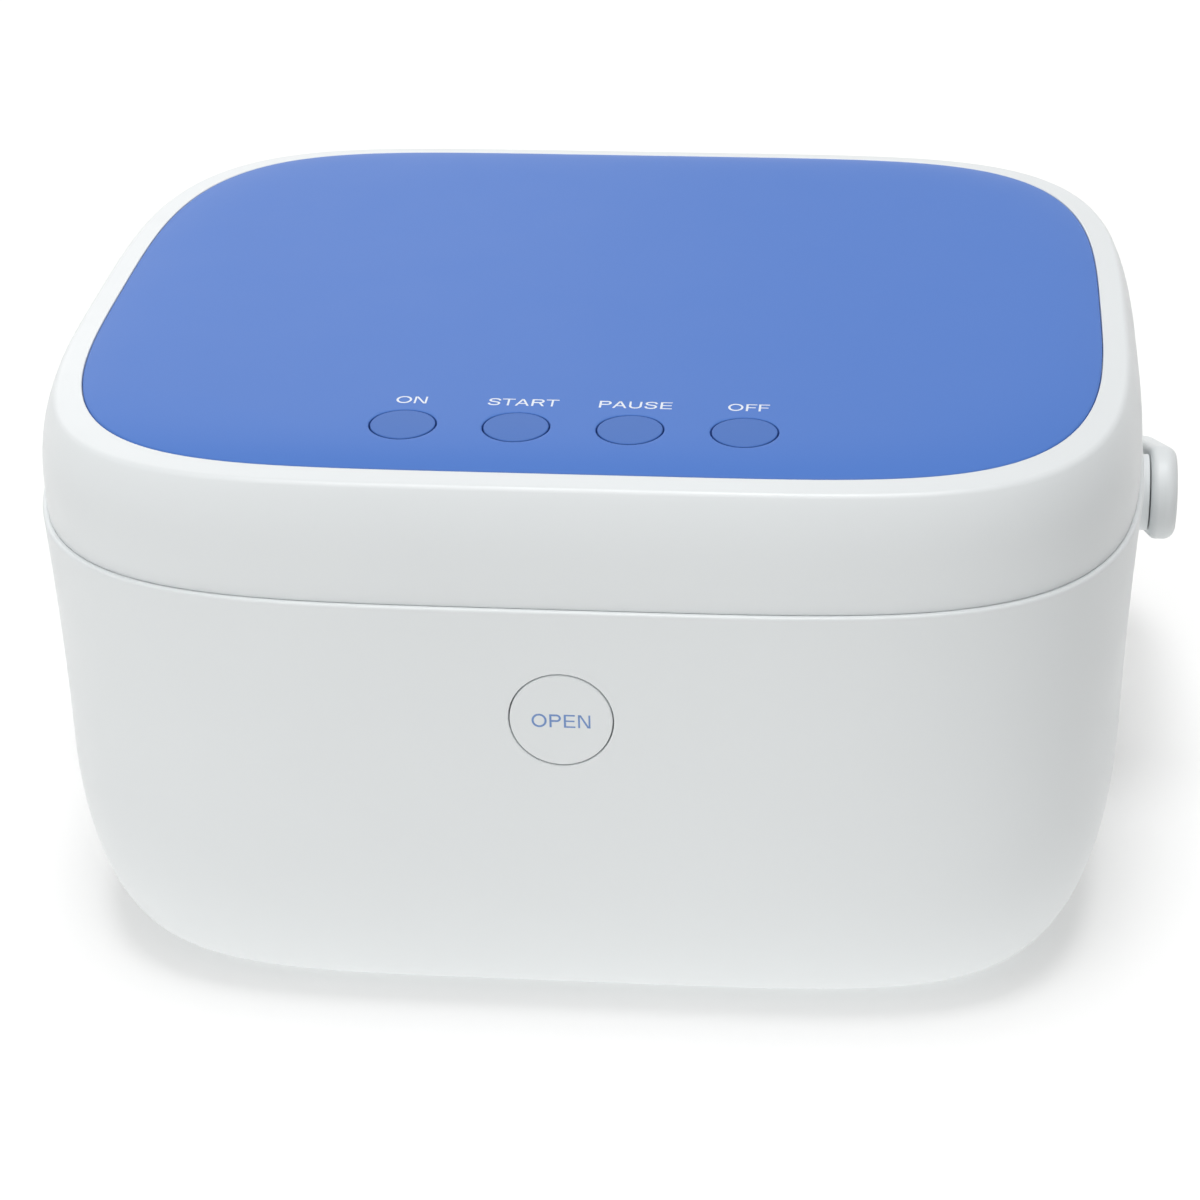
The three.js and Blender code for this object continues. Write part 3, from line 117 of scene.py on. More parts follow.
class Skin:
    """Points and faces of one piece. Grids that share a border are welded when the mesh is made."""

    def __init__(self):
        self.points, self.faces, self.count = [], [], 0

    def grid(self, rows, wrap=True, closed=False, keep=None):
        """Quads between neighbouring rows. wrap joins each row's ends, closed the last row to the first."""
        rows = np.asarray(rows, float)
        height, width = rows.shape[:2]
        index = np.arange(height * width).reshape(height, width) + self.count
        if wrap:
            index = np.hstack([index, index[:, :1]])
        if closed:
            index = np.vstack([index, index[:1]])
        quads = np.stack([index[:-1, :-1], index[:-1, 1:], index[1:, 1:], index[1:, :-1]], axis=-1)
        if keep is not None:
            quads = quads[keep]
        self.points.append(rows.reshape(-1, 3))
        self.faces.append(quads.reshape(-1, 4))
        self.count += height * width
        return self

    def closed_ends(self, rows):
        """A grid of round rows whose first and last row are drawn in to their middle points."""
        rows = np.asarray(rows, float)
        first = np.repeat(rows[:1].mean(axis=1, keepdims=True), rows.shape[1], axis=1)
        last = np.repeat(rows[-1:].mean(axis=1, keepdims=True), rows.shape[1], axis=1)
        return self.grid(np.concatenate([first, rows, last]))

    def copies(self, *moves):
        """The same skin at several places, each given as a move in x, y and z."""
        base, faces = np.concatenate(self.points), np.concatenate(self.faces)
        self.points = [base + np.asarray(move, float) for move in moves]
        self.faces = [faces + i * len(base) for i in range(len(moves))]
        self.count = len(base) * len(moves)
        return self

    def joined(self, other):
        self.points += other.points
        self.faces += [faces + self.count for faces in other.faces]
        self.count += other.count
        return self

    def mapped(self, change):
        """The same faces on points moved by a function of the whole point array."""
        self.points = [change(np.concatenate(self.points))]
        self.faces = [np.concatenate(self.faces)]
        return self

    def mesh(self, name):
        """The skin as a mesh in metres, welded, with its normals outwards and its edges smooth or crisp."""
        mesh = bpy.data.meshes.new(name)
        points = np.concatenate(self.points) * MM + (0, BODY_MIDDLE_Y, 0)
        mesh.from_pydata(points, [], np.concatenate(self.faces))
        work = bmesh.new()
        work.from_mesh(mesh)
        bmesh.ops.remove_doubles(work, verts=work.verts, dist=WELD)
        bmesh.ops.dissolve_degenerate(work, edges=work.edges, dist=SLIVER)
        bmesh.ops.recalc_face_normals(work, faces=work.faces)
        work.to_mesh(mesh)
        work.free()
        smooth(mesh)
        return mesh


def smooth(mesh):
    mesh.shade_smooth()
    mesh.set_sharp_from_angle(angle=math.radians(CRISP))


def in_scene(name, data):
    """An object of the scene for a mesh, a lamp or a camera."""
    made = bpy.data.objects.new(name, data)
    bpy.context.scene.collection.objects.link(made)
    return made


def show(name, skin, finish, body, slot, *stands_for):
    """Makes a skin an object of the scene that rides on a body, if one is given, and stands for CAD nodes."""
    thing = in_scene(name, skin.mesh(name))
    thing.data.materials.append(finish)
    if body:
        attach(thing, body)
    if stands_for:
        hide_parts(*stands_for)
    return thing


def carve(thing, cutter):
    """Takes the cutter's closed skins out of a piece and keeps the plain mesh."""
    tool = in_scene("cutter", cutter.mesh("cutter"))
    modifier = thing.modifiers.new("carve", "BOOLEAN")
    modifier.operation, modifier.object, modifier.solver = "DIFFERENCE", tool, "EXACT"
    carved = bpy.data.meshes.new_from_object(thing.evaluated_get(bpy.context.evaluated_depsgraph_get()))
    finish = thing.data.materials[0]
    thing.modifiers.clear()
    thing.data = carved
    carved.materials.clear()
    carved.materials.append(finish)
    smooth(carved)
    bpy.data.objects.remove(tool)


# Plan outlines and the surfaces built on them

def outline(half_width, half_depth, power):
    """Closed curve |x / half_width|^px + |y / half_depth|^py = 1, from +X anticlockwise. Each side is stepped
    along itself up to the point where both terms are one half, with shorter steps towards the corner."""
    even = np.linspace(0, 1, SIDE_STEPS + 1)
    share = EVEN_SHARE * even + (1 - EVEN_SHARE) * np.sin(even * np.pi / 2)
    px, py = power
    rise = share * 0.5 ** (1 / py)
    beside = np.stack([(1 - rise ** py) ** (1 / px), rise], axis=1)
    run = share[::-1] * 0.5 ** (1 / px)
    behind = np.stack([run, (1 - run ** px) ** (1 / py)], axis=1)
    quarter = np.concatenate([beside, behind[1:]])
    back = quarter[::-1]
    ring = np.concatenate([quarter[:-1], (back * (-1, 1))[:-1], (-quarter)[:-1], (back * (1, -1))[:-1]])
    return ring * (half_width, half_depth)


def ring_at(plan, z):
    return np.column_stack([plan, np.full(len(plan), z)])


def between(start, end, share):
    return tuple(a + (b - a) * share for a, b in zip(start, end))


def body_inset(depth):
    """How far the side stands inside the seam: a draft that eases with depth, then a quarter ellipse."""
    straight = np.minimum(depth, TURN_DEPTH)
    drawn = SEAM_SLOPE * straight - (SEAM_SLOPE - TURN_SLOPE) * straight ** 2 / (2 * TURN_DEPTH)
    below = np.maximum(depth - TURN_DEPTH, 0)
    turned = 1 - np.sqrt(np.maximum(1 - (below / TURN_HEIGHT) ** 2, 0))
    return drawn + TURN_SLOPE * below + TURN_INSET * turned


ARM_THICKNESS, ARM_HALF_WIDTH = 7.5, 13.4
ARM_INNER = HALF_WIDTH - float(body_inset(SEAM_Z - PIVOT_Z)) + 6.97
ARM_OUTER = ARM_INNER + ARM_THICKNESS
HANDLE_REACH = (HALF_DEPTH + 10.59 - PIVOT_Y) / math.cos(HANDLE_REST)


def body_ring(depth, inset):
    drawn = body_inset(depth) + inset
    power = between(SEAM_POWER, BASE_POWER, depth / BODY_HEIGHT)
    return ring_at(outline(HALF_WIDTH - drawn, HALF_DEPTH - drawn, power), SEAM_Z - depth)


def wall_reach(side, along, z, inset):
    """Distance of the body's wall from the middle plane, along the normal axis of the named side."""
    depth = SEAM_Z - z
    drawn = body_inset(depth) + inset
    halves = (HALF_WIDTH - drawn, HALF_DEPTH - drawn)
    power = between(SEAM_POWER, BASE_POWER, depth / BODY_HEIGHT)
    a, n = (0, 1) if side in ("front", "back") else (1, 0)
    return halves[n] * (1 - np.abs(along / halves[a]) ** power[a]) ** (1 / power[n])


def on_side(side, along, z, reach):
    """Points of a side from their place along it, their height and their distance outwards."""
    along, z, reach = np.broadcast_arrays(along, z, reach)
    if side == "front":
        return np.stack([along, -reach, z], axis=-1)
    if side == "back":
        return np.stack([along, reach, z], axis=-1)
    return np.stack([reach if side == "right" else -reach, along, z], axis=-1)


def lid_inset(height):
    """How far the lid's side stands inside the seam: a growing lean with a slight bulge."""
    rise = height / SHOULDER_HEIGHT
    return SHOULDER_INSET * rise ** LEAN_POWER - 4 * LID_BULGE * rise * (1 - rise)


def lid_ring(height, inset):
    power = between(SEAM_POWER, PANEL_POWER, height / RIM_HEIGHT)
    return ring_at(outline(HALF_WIDTH - inset, HALF_DEPTH - inset, power), SEAM_Z + height)


def plan_share(x, y):
    """Size of the panel outline through a point, as a share of the full one, found by halving."""
    low, high = np.zeros(np.shape(x)), np.full(np.shape(x), 1.5)
    for _ in range(HALVINGS):
        middle = (low + high) / 2
        outside = (np.abs(x / PANEL_HALF[0] / middle) ** PANEL_POWER[0]
                   + np.abs(y / PANEL_HALF[1] / middle) ** PANEL_POWER[1]) > 1
        low, high = np.where(outside, middle, low), np.where(outside, high, middle)
    return (low + high) / 2


def crown_height(x, y):
    """The crown's height: highest in the middle and falling with the fourteenth power of the plan share."""
    return RIM_Z + CROWN * (1 - plan_share(x, y) ** CROWN_POWER)


def turned_corner(radius, start, end, steps=4):
    """Offsets along a quarter circle, as cosine and sine times the radius, between two angles in degrees."""
    angle = np.radians(np.linspace(start, end, steps + 1))
    return np.stack([radius * np.cos(angle), radius * np.sin(angle)], axis=1)


# Round and straight basic skins

def circle(count=ROUND_STEPS):
    angle = np.arange(count) / count * 2 * np.pi
    return np.stack([np.cos(angle), np.sin(angle)], axis=1)


# Each axis with the two directions across it first
AXES = {"x": [1, 2, 0], "y": [2, 0, 1], "z": [0, 1, 2]}


def placed(axis, centre, plan, distance):
    """A plan across an axis as points about a centre, at a distance along the axis."""
    row = np.empty((len(plan), 3))
    row[:, AXES[axis]] = np.column_stack([plan, np.full(len(plan), distance)])
    return row + centre


def soft_edges(outer, start, end, edge, steps=3):
    """A side from end to end as (reach, distance) pairs, with a quarter circle at both its edges."""
    low = [(outer - edge + c, start + edge + s) for c, s in turned_corner(edge, -90, 0, steps)]
    return low + [(outer - edge + c, end - edge + s) for c, s in turned_corner(edge, 0, 90, steps)]


def lathe(axis, centre, profile, count=ROUND_STEPS):
    """A profile of (radius, distance along the axis) pairs turned about the axis through a centre."""
    plan = circle(count)
    return Skin().closed_ends([placed(axis, centre, radius * plan, distance) for radius, distance in profile])


def rod(axis, centre, radius, start, end, edge=0.3, count=ROUND_STEPS):
    """A round bar along an axis between two distances from its centre, with softened ends."""
    return lathe(axis, centre, soft_edges(radius, start, end, edge, 2), count)


def tube_shell(axis, centre, outer, inner, start, end):
    """A round tube: an outer and an inner radius between two distances, with softened outer edges."""
    profile = [(inner, start), *soft_edges(outer, start, end, 0.4), (inner, end)]
    plan = circle()
    rows = [placed(axis, centre, radius * plan, distance) for radius, distance in profile]
    return Skin().grid(rows, closed=True)


def rounded_plan(half_x, half_y, corner):
    """A rectangle with round corners, as quarter circles about four corner centres."""
    quarter = np.radians(np.linspace(0, 90, CORNER_STEPS + 1))
    parts = []
    for turn, (sx, sy) in enumerate([(1, 1), (-1, 1), (-1, -1), (1, -1)]):
        angle = quarter + turn * np.pi / 2
        parts.append(np.stack([sx * (half_x - corner) + corner * np.cos(angle),
                               sy * (half_y - corner) + corner * np.sin(angle)], axis=1))
    return np.concatenate(parts)


def rounded_block(centre, halves, corner, edge, axis="z"):
    """A slab with a round-cornered plan across the axis and softened edges at both faces."""
    first, second, third = AXES[axis]
    rows = []
    for grow, distance in soft_edges(0, -halves[third], halves[third], edge):
        plan = rounded_plan(halves[first] + grow, halves[second] + grow, max(corner + grow, 0.05))
        rows.append(placed(axis, centre, plan, distance))
    return Skin().closed_ends(rows)


def wire(points, radius, sides=12, closed=False):
    """A round wire carried along a path, with half-round ends when open. Its rings are set by the upright
    axis on level stretches and by the Y axis on upright ones. Between the two a coil has a slight waist."""
    points = np.asarray(points, float)
    if closed:
        along = np.roll(points, -1, axis=0) - np.roll(points, 1, axis=0)
    else:
        along = np.gradient(points, axis=0)
    along /= np.linalg.norm(along, axis=1, keepdims=True)
    upright = np.abs(along[:, 2:]) > 0.9
    lift = np.where(upright, (0.0, 1.0, 0.0), (0.0, 0.0, 1.0))
    side = np.cross(along, lift)
    side /= np.linalg.norm(side, axis=1, keepdims=True)
    lift = np.cross(side, along)
    plan = circle(sides)
    rows = points[:, None] + radius * (plan[None, :, :1] * side[:, None] + plan[None, :, 1:] * lift[:, None])
    if closed:
        return Skin().grid(rows, closed=True)
    ends = []
    for row, middle, out in ((rows[0], points[0], -along[0]), (rows[-1], points[-1], along[-1])):
        bend = np.radians([75, 50, 25])
        ends.append([middle + (row - middle) * np.cos(a) + out * radius * np.sin(a) for a in bend])
    return Skin().closed_ends(np.concatenate([ends[0], rows, ends[1][::-1]]))


# Openings and bosses in the grid of rows around the body

def wall_band(skin, side, border, rim, inset):
    """Fills from a block's border to a rim on the wall's own surface, with the last steps close together."""
    rows = []
    for share in (0, 0.22, 0.45, 0.66, 0.84, 0.96, 1):
        along, z = (border + (rim - border) * share).T
        rows.append(on_side(side, along, z, wall_reach(side, along, z, inset)))
    skin.grid(rows)


def wall_feature(skin, grid, keep, shared, side, centre, reach, halves, profile, square=2):
    """An opening or a boss. It clears the cells around the centre in the outer and the inner wall, fills
    each from the cleared border to a rim |p / half|^square + |q / half|^square = 1, and joins the rims by a
    profile of rows: how much the rim grows, the inset of the wall's surface that the row starts from (None
    for the middle plane), and the distance outwards from there."""
    outer, inner = shared
    along, normal = (0, 1) if side in ("front", "back") else (1, 0)
    sign = -1 if side in ("front", "left") else 1
    near = np.flatnonzero(np.abs(grid[outer, 0, 2] - centre[1]) < reach)
    top, bottom = near[0] - 1, near[-1] + 1
    middle = grid[outer[near[len(near) // 2]]]
    close = np.flatnonzero((middle[:, normal] * sign > 0) & (np.abs(middle[:, along] - centre[0]) < reach))
    left, right = close[0] - 1, close[-1] + 1
    run, fall = np.arange(left, right), np.arange(top, bottom)
    k = np.concatenate([np.full(len(run), top), fall, np.full(len(run), bottom), fall[::-1] + 1])
    j = np.concatenate([run, np.full(len(fall), right), run[::-1] + 1, np.full(len(fall), left)])
    away = grid[outer[k], j][:, [along, 2]] - centre
    angle = np.arctan2(away[:, 1], away[:, 0])
    cosine, sine = np.cos(angle), np.sin(angle)

    def rim(grow):
        radius = (np.abs(cosine / (halves[0] + grow)) ** square
                  + np.abs(sine / (halves[1] + grow)) ** square) ** (-1 / square)
        return np.stack([centre[0] + cosine * radius, centre[1] + sine * radius], axis=1)

    for wall, inset, grow in ((outer, 0, profile[0][0]), (inner, WALL, profile[-1][0])):
        low, high = sorted((wall[top], wall[bottom]))
        keep[low:high, left:right] = False
        wall_band(skin, side, grid[wall[k], j][:, [along, 2]], rim(grow), inset)
    steps = []
    for grow, surface, value in profile:
        ring = rim(grow)
        start = 0 if surface is None else wall_reach(side, ring[:, 0], ring[:, 1], surface)
        steps.append(on_side(side, ring[:, 0], ring[:, 1], start + value))
    skin.grid(steps)


def rounded_lip(radius, rise):
    """Profile rows of a quarter-round lip on the outer wall, turned inwards (-1) or outwards (1)."""
    angles = np.radians([0, 22, 45, 68, 90])
    return [(radius * (1 - math.sin(a)), 0, rise * radius * (1 - math.cos(a))) for a in angles]


def base_shell_skin():
    """The body's outer side, underside, seat of the base plate, floor, inner side and tub ledge as one closed
    run of rings, each the plan outline at its depth drawn in by its inset."""
    fillet, soft, lip = 0.8, 0.35, 0.3
    top = SEAM_EDGE
    rows = [(top + fillet - s, fillet - c) for c, s in turned_corner(fillet, 90, 0, 5)]
    turn = TURN_DEPTH + TURN_HEIGHT * np.sin(np.radians(np.linspace(0, 90, 31)[1:]))
    depths = np.concatenate([[top + fillet + 0.4], np.linspace(4, TURN_DEPTH, 22), turn])
    first_outer = len(rows)
    rows += [(depth, 0.0) for depth in depths]
    seat = PLATE_MARGIN - GAP
    rows += [(BODY_HEIGHT, seat / 2), (BODY_HEIGHT, seat - 2 * lip)]
    rows += [(BODY_HEIGHT - lip + s, seat - lip + c) for c, s in turned_corner(lip, 90, 0, 3)]
    seat_top, opening = BODY_HEIGHT - PLATE_THICKNESS - GAP, PLATE_MARGIN + PLATE_LEDGE
    rows += [(seat_top, seat), (seat_top, opening), (BODY_HEIGHT - FLOOR, opening)]
    last_under = len(rows)
    ledge = LEDGE_DROP + LEDGE_THICKNESS
    inside = np.flatnonzero((depths > ledge + 1) & (depths < BODY_HEIGHT - FLOOR - 1))[::-1]
    rows.append((BODY_HEIGHT - FLOOR, WALL))
    first_inner = len(rows)
    rows += [(depths[i], WALL) for i in inside]
    rows += [(ledge, WALL), (ledge, WALL + LEDGE_REACH), (LEDGE_DROP, WALL + LEDGE_REACH), (LEDGE_DROP, WALL)]
    rows.append((top + soft + 0.3, WALL))
    rows += [(top + soft - s, WALL - soft + c) for c, s in turned_corner(soft, 0, 90, 3)]

    grid = []
    for index, (depth, inset) in enumerate(rows):
        if first_outer + len(depths) <= index < last_under:
            drawn = body_inset(BODY_HEIGHT) + inset
            grid.append(ring_at(outline(HALF_WIDTH - drawn, HALF_DEPTH - drawn, BASE_POWER), SEAM_Z - depth))
        else:
            grid.append(body_ring(depth, inset))
    grid = np.array(grid)
    keep = np.ones(grid.shape[:2], bool)
    outer = first_outer + inside[::-1]
    inner = first_inner + np.arange(len(inside))[::-1]
    shared = (outer, inner)

    skin = Skin()
    round_hole = rounded_lip(soft, -1) + [(0, WALL, 0)]
    wall_feature(skin, grid, keep, shared, "front", (0, BUTTON_Z), 18.0, (BUTTON_RADIUS,) * 2, round_hole)
    square_hole = [(0, 0, 0), (0, WALL, 0)]
    opening = [half + GAP for half in INLET_HALF]
    wall_feature(skin, grid, keep, shared, "back", (INLET_X, INLET_Z), 14.0, opening, square_hole, 6)
    end = ARM_INNER - GAP
    bore = PIN_RADIUS + GAP - BOSS_RADIUS
    boss = rounded_lip(1.2, 1) + [(0, None, end - 0.5), (-0.15, None, end - 0.15), (-0.5, None, end)]
    boss += [(bore, None, end), (bore, WALL, 0)]
    for side in ("left", "right"):
        wall_feature(skin, grid, keep, shared, side, (PIVOT_Y, PIVOT_Z), 15.0, (BOSS_RADIUS,) * 2, boss)
    for x, y in SCREWS:
        skin.joined(tube_shell("z", (x, y, 0), SCREW_BOSS_RADIUS, SCREW_RADIUS + GAP, *SCREW_BOSS_ENDS))
    for x in (-GUIDE_X, GUIDE_X):
        skin.joined(rod("y", (x, 0, BUTTON_Z), GUIDE_RADIUS, FRONT_INNER - 0.9, BRACKET_Y - GAP, 0.4, 32))
    return skin.grid(grid, closed=True, keep=keep)


def lid_shell_skin():
    """The lid's ring as one closed run of rings: lower edge, leaning side, crease along a quadratic curve,
    rim that climbs to the panel, panel recess, ledge and inner side."""
    edge, lip, soft, step = 0.12, 0.3, 0.35, 1.35
    bottom = SEAM_EDGE
    side_top = SHOULDER_HEIGHT - CREASE

    def leaning(height):
        return lid_inset(height) + step * (1 - (height / side_top) ** 3)

    rows = []
    for c, s in turned_corner(edge, -90, 0, 4):
        height = bottom + edge + s
        rows.append((height, leaning(height) + edge - c))
    heights = np.concatenate([[bottom + edge + 0.4], np.linspace(2, 10, 6), np.linspace(13, side_top, 8)])
    rows += [(height, leaning(height)) for height in heights]
    slope = (RIM_HEIGHT - SHOULDER_HEIGHT) / (PANEL_INSET - SHOULDER_INSET)
    start = np.array([side_top, lid_inset(side_top)])
    corner = np.array([SHOULDER_HEIGHT, SHOULDER_INSET])
    end = corner + CREASE * np.array([slope, 1])
    for t in np.linspace(0, 1, 17)[1:]:
        rows.append(tuple((1 - t) ** 2 * start + 2 * t * (1 - t) * corner + t ** 2 * end))
    for inset in (10.0, PANEL_INSET - 2 * lip):
        rows.append((SHOULDER_HEIGHT + slope * (inset - SHOULDER_INSET), inset))
    rows += [(RIM_HEIGHT - lip + s, PANEL_INSET - lip + c) for c, s in turned_corner(lip, 80, 0, 3)]
    recess = RIM_HEIGHT - RECESS
    under = recess - LID_LEDGE_THICKNESS
    rows += [(recess, PANEL_INSET), (recess, PANEL_INSET + LID_LEDGE), (under, PANEL_INSET + LID_LEDGE)]
    rows += [(height, lid_inset(height) + WALL) for height in (under, 20.0, 13.6, 7.0, bottom + soft + 0.4)]
    rows += [(bottom + soft + s, WALL - soft - c) for c, s in turned_corner(soft, 180, 270, 3)]
    skin = Skin().grid([lid_ring(height, inset) for height, inset in rows], closed=True)
    inset = float(lid_inset(under)) + WALL + LID_BOSS_RADIUS
    for share in LID_BOSS_SHARES:
        across, along = math.cos(share * 2 * math.pi), math.sin(share * 2 * math.pi)
        x = math.copysign((HALF_WIDTH - inset) * abs(across) ** (2 / SEAM_POWER[0]), across)
        y = math.copysign((HALF_DEPTH - inset) * abs(along) ** (2 / SEAM_POWER[1]), along)
        skin.joined(rod("z", (x, y, SEAM_Z), LID_BOSS_RADIUS, 4.35, under + 0.5, 0.3, 32))
    return skin


# Top panel and keys, drawn on the crown

KEY_NAMES = ("on", "start", "pause", "off")
KEY_PLACES = [(name, KEY_MIDDLE_X + (i - 1.5) * KEY_PITCH) for i, name in enumerate(KEY_NAMES)]
KEY_BLOCK = 11.0
KEY_FAR_SHARE = (KEY_RADIUS + 1.6 - KEY_Y) / (HALF_DEPTH - PANEL_INSET)
KEY_FLANGE_TOP = RIM_Z + CROWN * (1 - KEY_FAR_SHARE ** CROWN_POWER) - PANEL_THICKNESS - GAP
BOARD_TOP = KEY_FLANGE_TOP - 10.55


def on_crown(plan, drop=0.0):
    return np.concatenate([plan, (crown_height(plan[..., 0], plan[..., 1]) - drop)[..., None]], axis=-1)


def steps_between(*stops):
    """Numbers from (start, count), (next, count) ... (end, None), each stretch cut into its steps."""
    parts = [np.linspace(a, b, n, endpoint=False) for (a, n), (b, _) in zip(stops, stops[1:])]
    return np.concatenate(parts + [[stops[-1][0]]])


def border_of(table, i0, i1, j0, j1):
    """The points round a block of a table, in order."""
    return np.concatenate([table[i0, j0:j1], table[i0:i1, j1], table[i1, j1:j0:-1], table[i1:i0:-1, j0]])


def panel_skin():
    """The crowned sheet. A rectangle of straight rows holds a block round each key hole. Rays carry its
    border out to the plan outline, and each block's border is carried in to its hole. The underside is the
    same surface lowered by the thickness, and soft lips join the two. Two posts hold the control board."""
    lip, side = 0.3, 100.0
    stops = [(-side, 12)]
    for _, x in KEY_PLACES:
        stops += [(x - KEY_BLOCK, 8), (x + KEY_BLOCK, 2)]
    stops[-1] = (stops[-1][0], 12)
    xs = steps_between(*stops, (side, None))
    ys = steps_between((KEY_Y - KEY_BLOCK, 8), (KEY_Y + KEY_BLOCK, 52), (108.0, None))
    table = np.stack(np.meshgrid(xs, ys), axis=-1)
    keep = np.ones((len(ys) - 1, len(xs) - 1), bool)
    columns = [12 + 10 * i for i in range(len(KEY_PLACES))]
    for j in columns:
        keep[:8, j:j + 8] = False
    border = border_of(table, 0, len(ys) - 1, 0, len(xs) - 1)
    full = border / plan_share(border[:, 0], border[:, 1])[:, None]
    skin = Skin()
    for drop, edge in ((0.0, lip), (PANEL_THICKNESS, 0.0)):
        skin.grid(on_crown(table, drop), wrap=False, keep=keep)
        last = full * (1 - edge / PANEL_HALF[1])
        steps = np.append(1 - np.linspace(1, 0, 11)[:-1] ** 1.5, (0.985, 1))
        skin.grid([on_crown(border + (last - border) * share, drop) for share in np.sort(steps)])
    rows = [ring_at(full * (1 - (lip - c) / PANEL_HALF[1]), RIM_Z - lip + s)
            for c, s in turned_corner(lip, 90, 0, 3)]
    rows[0] = on_crown(full * (1 - lip / PANEL_HALF[1]))
    skin.grid(rows + [ring_at(full, RIM_Z - PANEL_THICKNESS)])
    for (_, x), j in zip(KEY_PLACES, columns):
        place = (x, KEY_Y)
        ring = border_of(table, 0, 8, j, j + 8)
        away = ring - place
        out = away / np.linalg.norm(away, axis=1, keepdims=True)
        for drop, radius in ((0.0, KEY_RADIUS + lip), (PANEL_THICKNESS, KEY_RADIUS)):
            rim = place + out * radius
            skin.grid([on_crown(ring + (rim - ring) * share, drop) for share in (0, 0.4, 0.75, 1)])
        rows = [on_crown(place + out * (KEY_RADIUS + lip - c), lip - s)
                for c, s in turned_corner(lip, 90, 0, 3)]
        skin.grid(rows + [on_crown(place + out * KEY_RADIUS, PANEL_THICKNESS)])
    for x in (-BOARD_POST_X, BOARD_POST_X):
        top = float(crown_height(x, KEY_Y)) - PANEL_THICKNESS / 2
        skin.joined(rod("z", (x, KEY_Y, 0), BOARD_POST_RADIUS, BOARD_TOP + GAP, top, 0.3, 32))
    return skin


def key_skin(x):
    """A key: stem and flange turned about the upright axis, and a cap that follows the crown."""
    lip, radius = 0.25, KEY_RADIUS - GAP - 0.1
    plan = circle()
    top, bottom = KEY_FLANGE_TOP, KEY_FLANGE_TOP - KEY_FLANGE_THICKNESS
    foot = bottom - KEY_STEM_LENGTH
    turned = [(KEY_STEM - EDGE, foot), (KEY_STEM, foot + EDGE), (KEY_STEM, bottom),
              (KEY_FLANGE - EDGE, bottom), (KEY_FLANGE, bottom + EDGE), (KEY_FLANGE, top - EDGE),
              (KEY_FLANGE - EDGE, top), (radius, top)]
    rows = [ring_at((x, KEY_Y) + plan * r, z) for r, z in turned]
    rows += [on_crown((x, KEY_Y) + plan * (radius - lip + c), lip - s)
             for c, s in turned_corner(lip, 0, 90, 3)]
    rows += [on_crown((x, KEY_Y) + plan * r) for r in np.linspace(radius - lip - 0.3, 0.3, 8)]
    return Skin().closed_ends(rows)


BUTTON_DEPTH = SEAM_Z - BUTTON_Z
FRONT_INNER = -(HALF_DEPTH - float(body_inset(BUTTON_DEPTH + BUTTON_RADIUS + 2)) - WALL - 0.4)
BRACKET_Y = FRONT_INNER + BRACKET_DISTANCE
LEVER_Y = BRACKET_Y + BRACKET_THICKNESS + GAP + LEVER_DISTANCE


def button_skin():
    """The push button: tip, stem and flange turned about the level axis, and a cap that follows the wall."""
    lip, radius = 0.35, BUTTON_RADIUS - GAP
    plan = circle()
    front = -FRONT_INNER - GAP
    back = front - BUTTON_FLANGE_THICKNESS
    tip = -(LEVER_Y - LEVER_HALF - GAP)
    neck = tip + BUTTON_TIP_LENGTH
    turned = [(BUTTON_TIP - EDGE, tip), (BUTTON_TIP, tip + EDGE), (BUTTON_TIP, neck),
              (BUTTON_STEM - EDGE, neck), (BUTTON_STEM, neck + EDGE), (BUTTON_STEM, back),
              (BUTTON_FLANGE - EDGE, back), (BUTTON_FLANGE, back + EDGE), (BUTTON_FLANGE, front - EDGE),
              (BUTTON_FLANGE - EDGE, front), (radius, front)]

    def row(size, reach=None, drop=0.0):
        across, height = plan[:, 0] * size, BUTTON_Z + plan[:, 1] * size
        out = wall_reach("front", across, height, 0) - drop if reach is None else reach
        return on_side("front", across, height, out)

    rows = [row(size, reach) for size, reach in turned]
    rows += [row(radius - lip + c, drop=lip - s) for c, s in turned_corner(lip, 0, 90, 4)]
    rows += [row(size) for size in np.linspace(radius - lip - 0.4, 0.3, 9)]
    return Skin().closed_ends(rows)


# Carry handle

def half_section(half):
    """Upper half of the bail's section, from the middle of its inner face over a small inner and a larger
    outer round to the middle of its outer face, as (across, rise) pairs."""
    tall, inner, outer = ARM_HALF_WIDTH, 2.0, 3.4
    points = [(-half, 0), (-half, 6), (-half, tall - inner - 0.5)]
    points += [(-half + inner + c, tall - inner + s) for c, s in turned_corner(inner, 180, 90, 4)]
    points += [(-half + inner + 0.2, tall), (half - outer - 0.2, tall)]
    points += [(half - outer + c, tall - outer + s) for c, s in turned_corner(outer, 90, 0, 7)]
    return np.array(points + [(half, tall - outer - 0.5), (half, 5), (half, 0)])


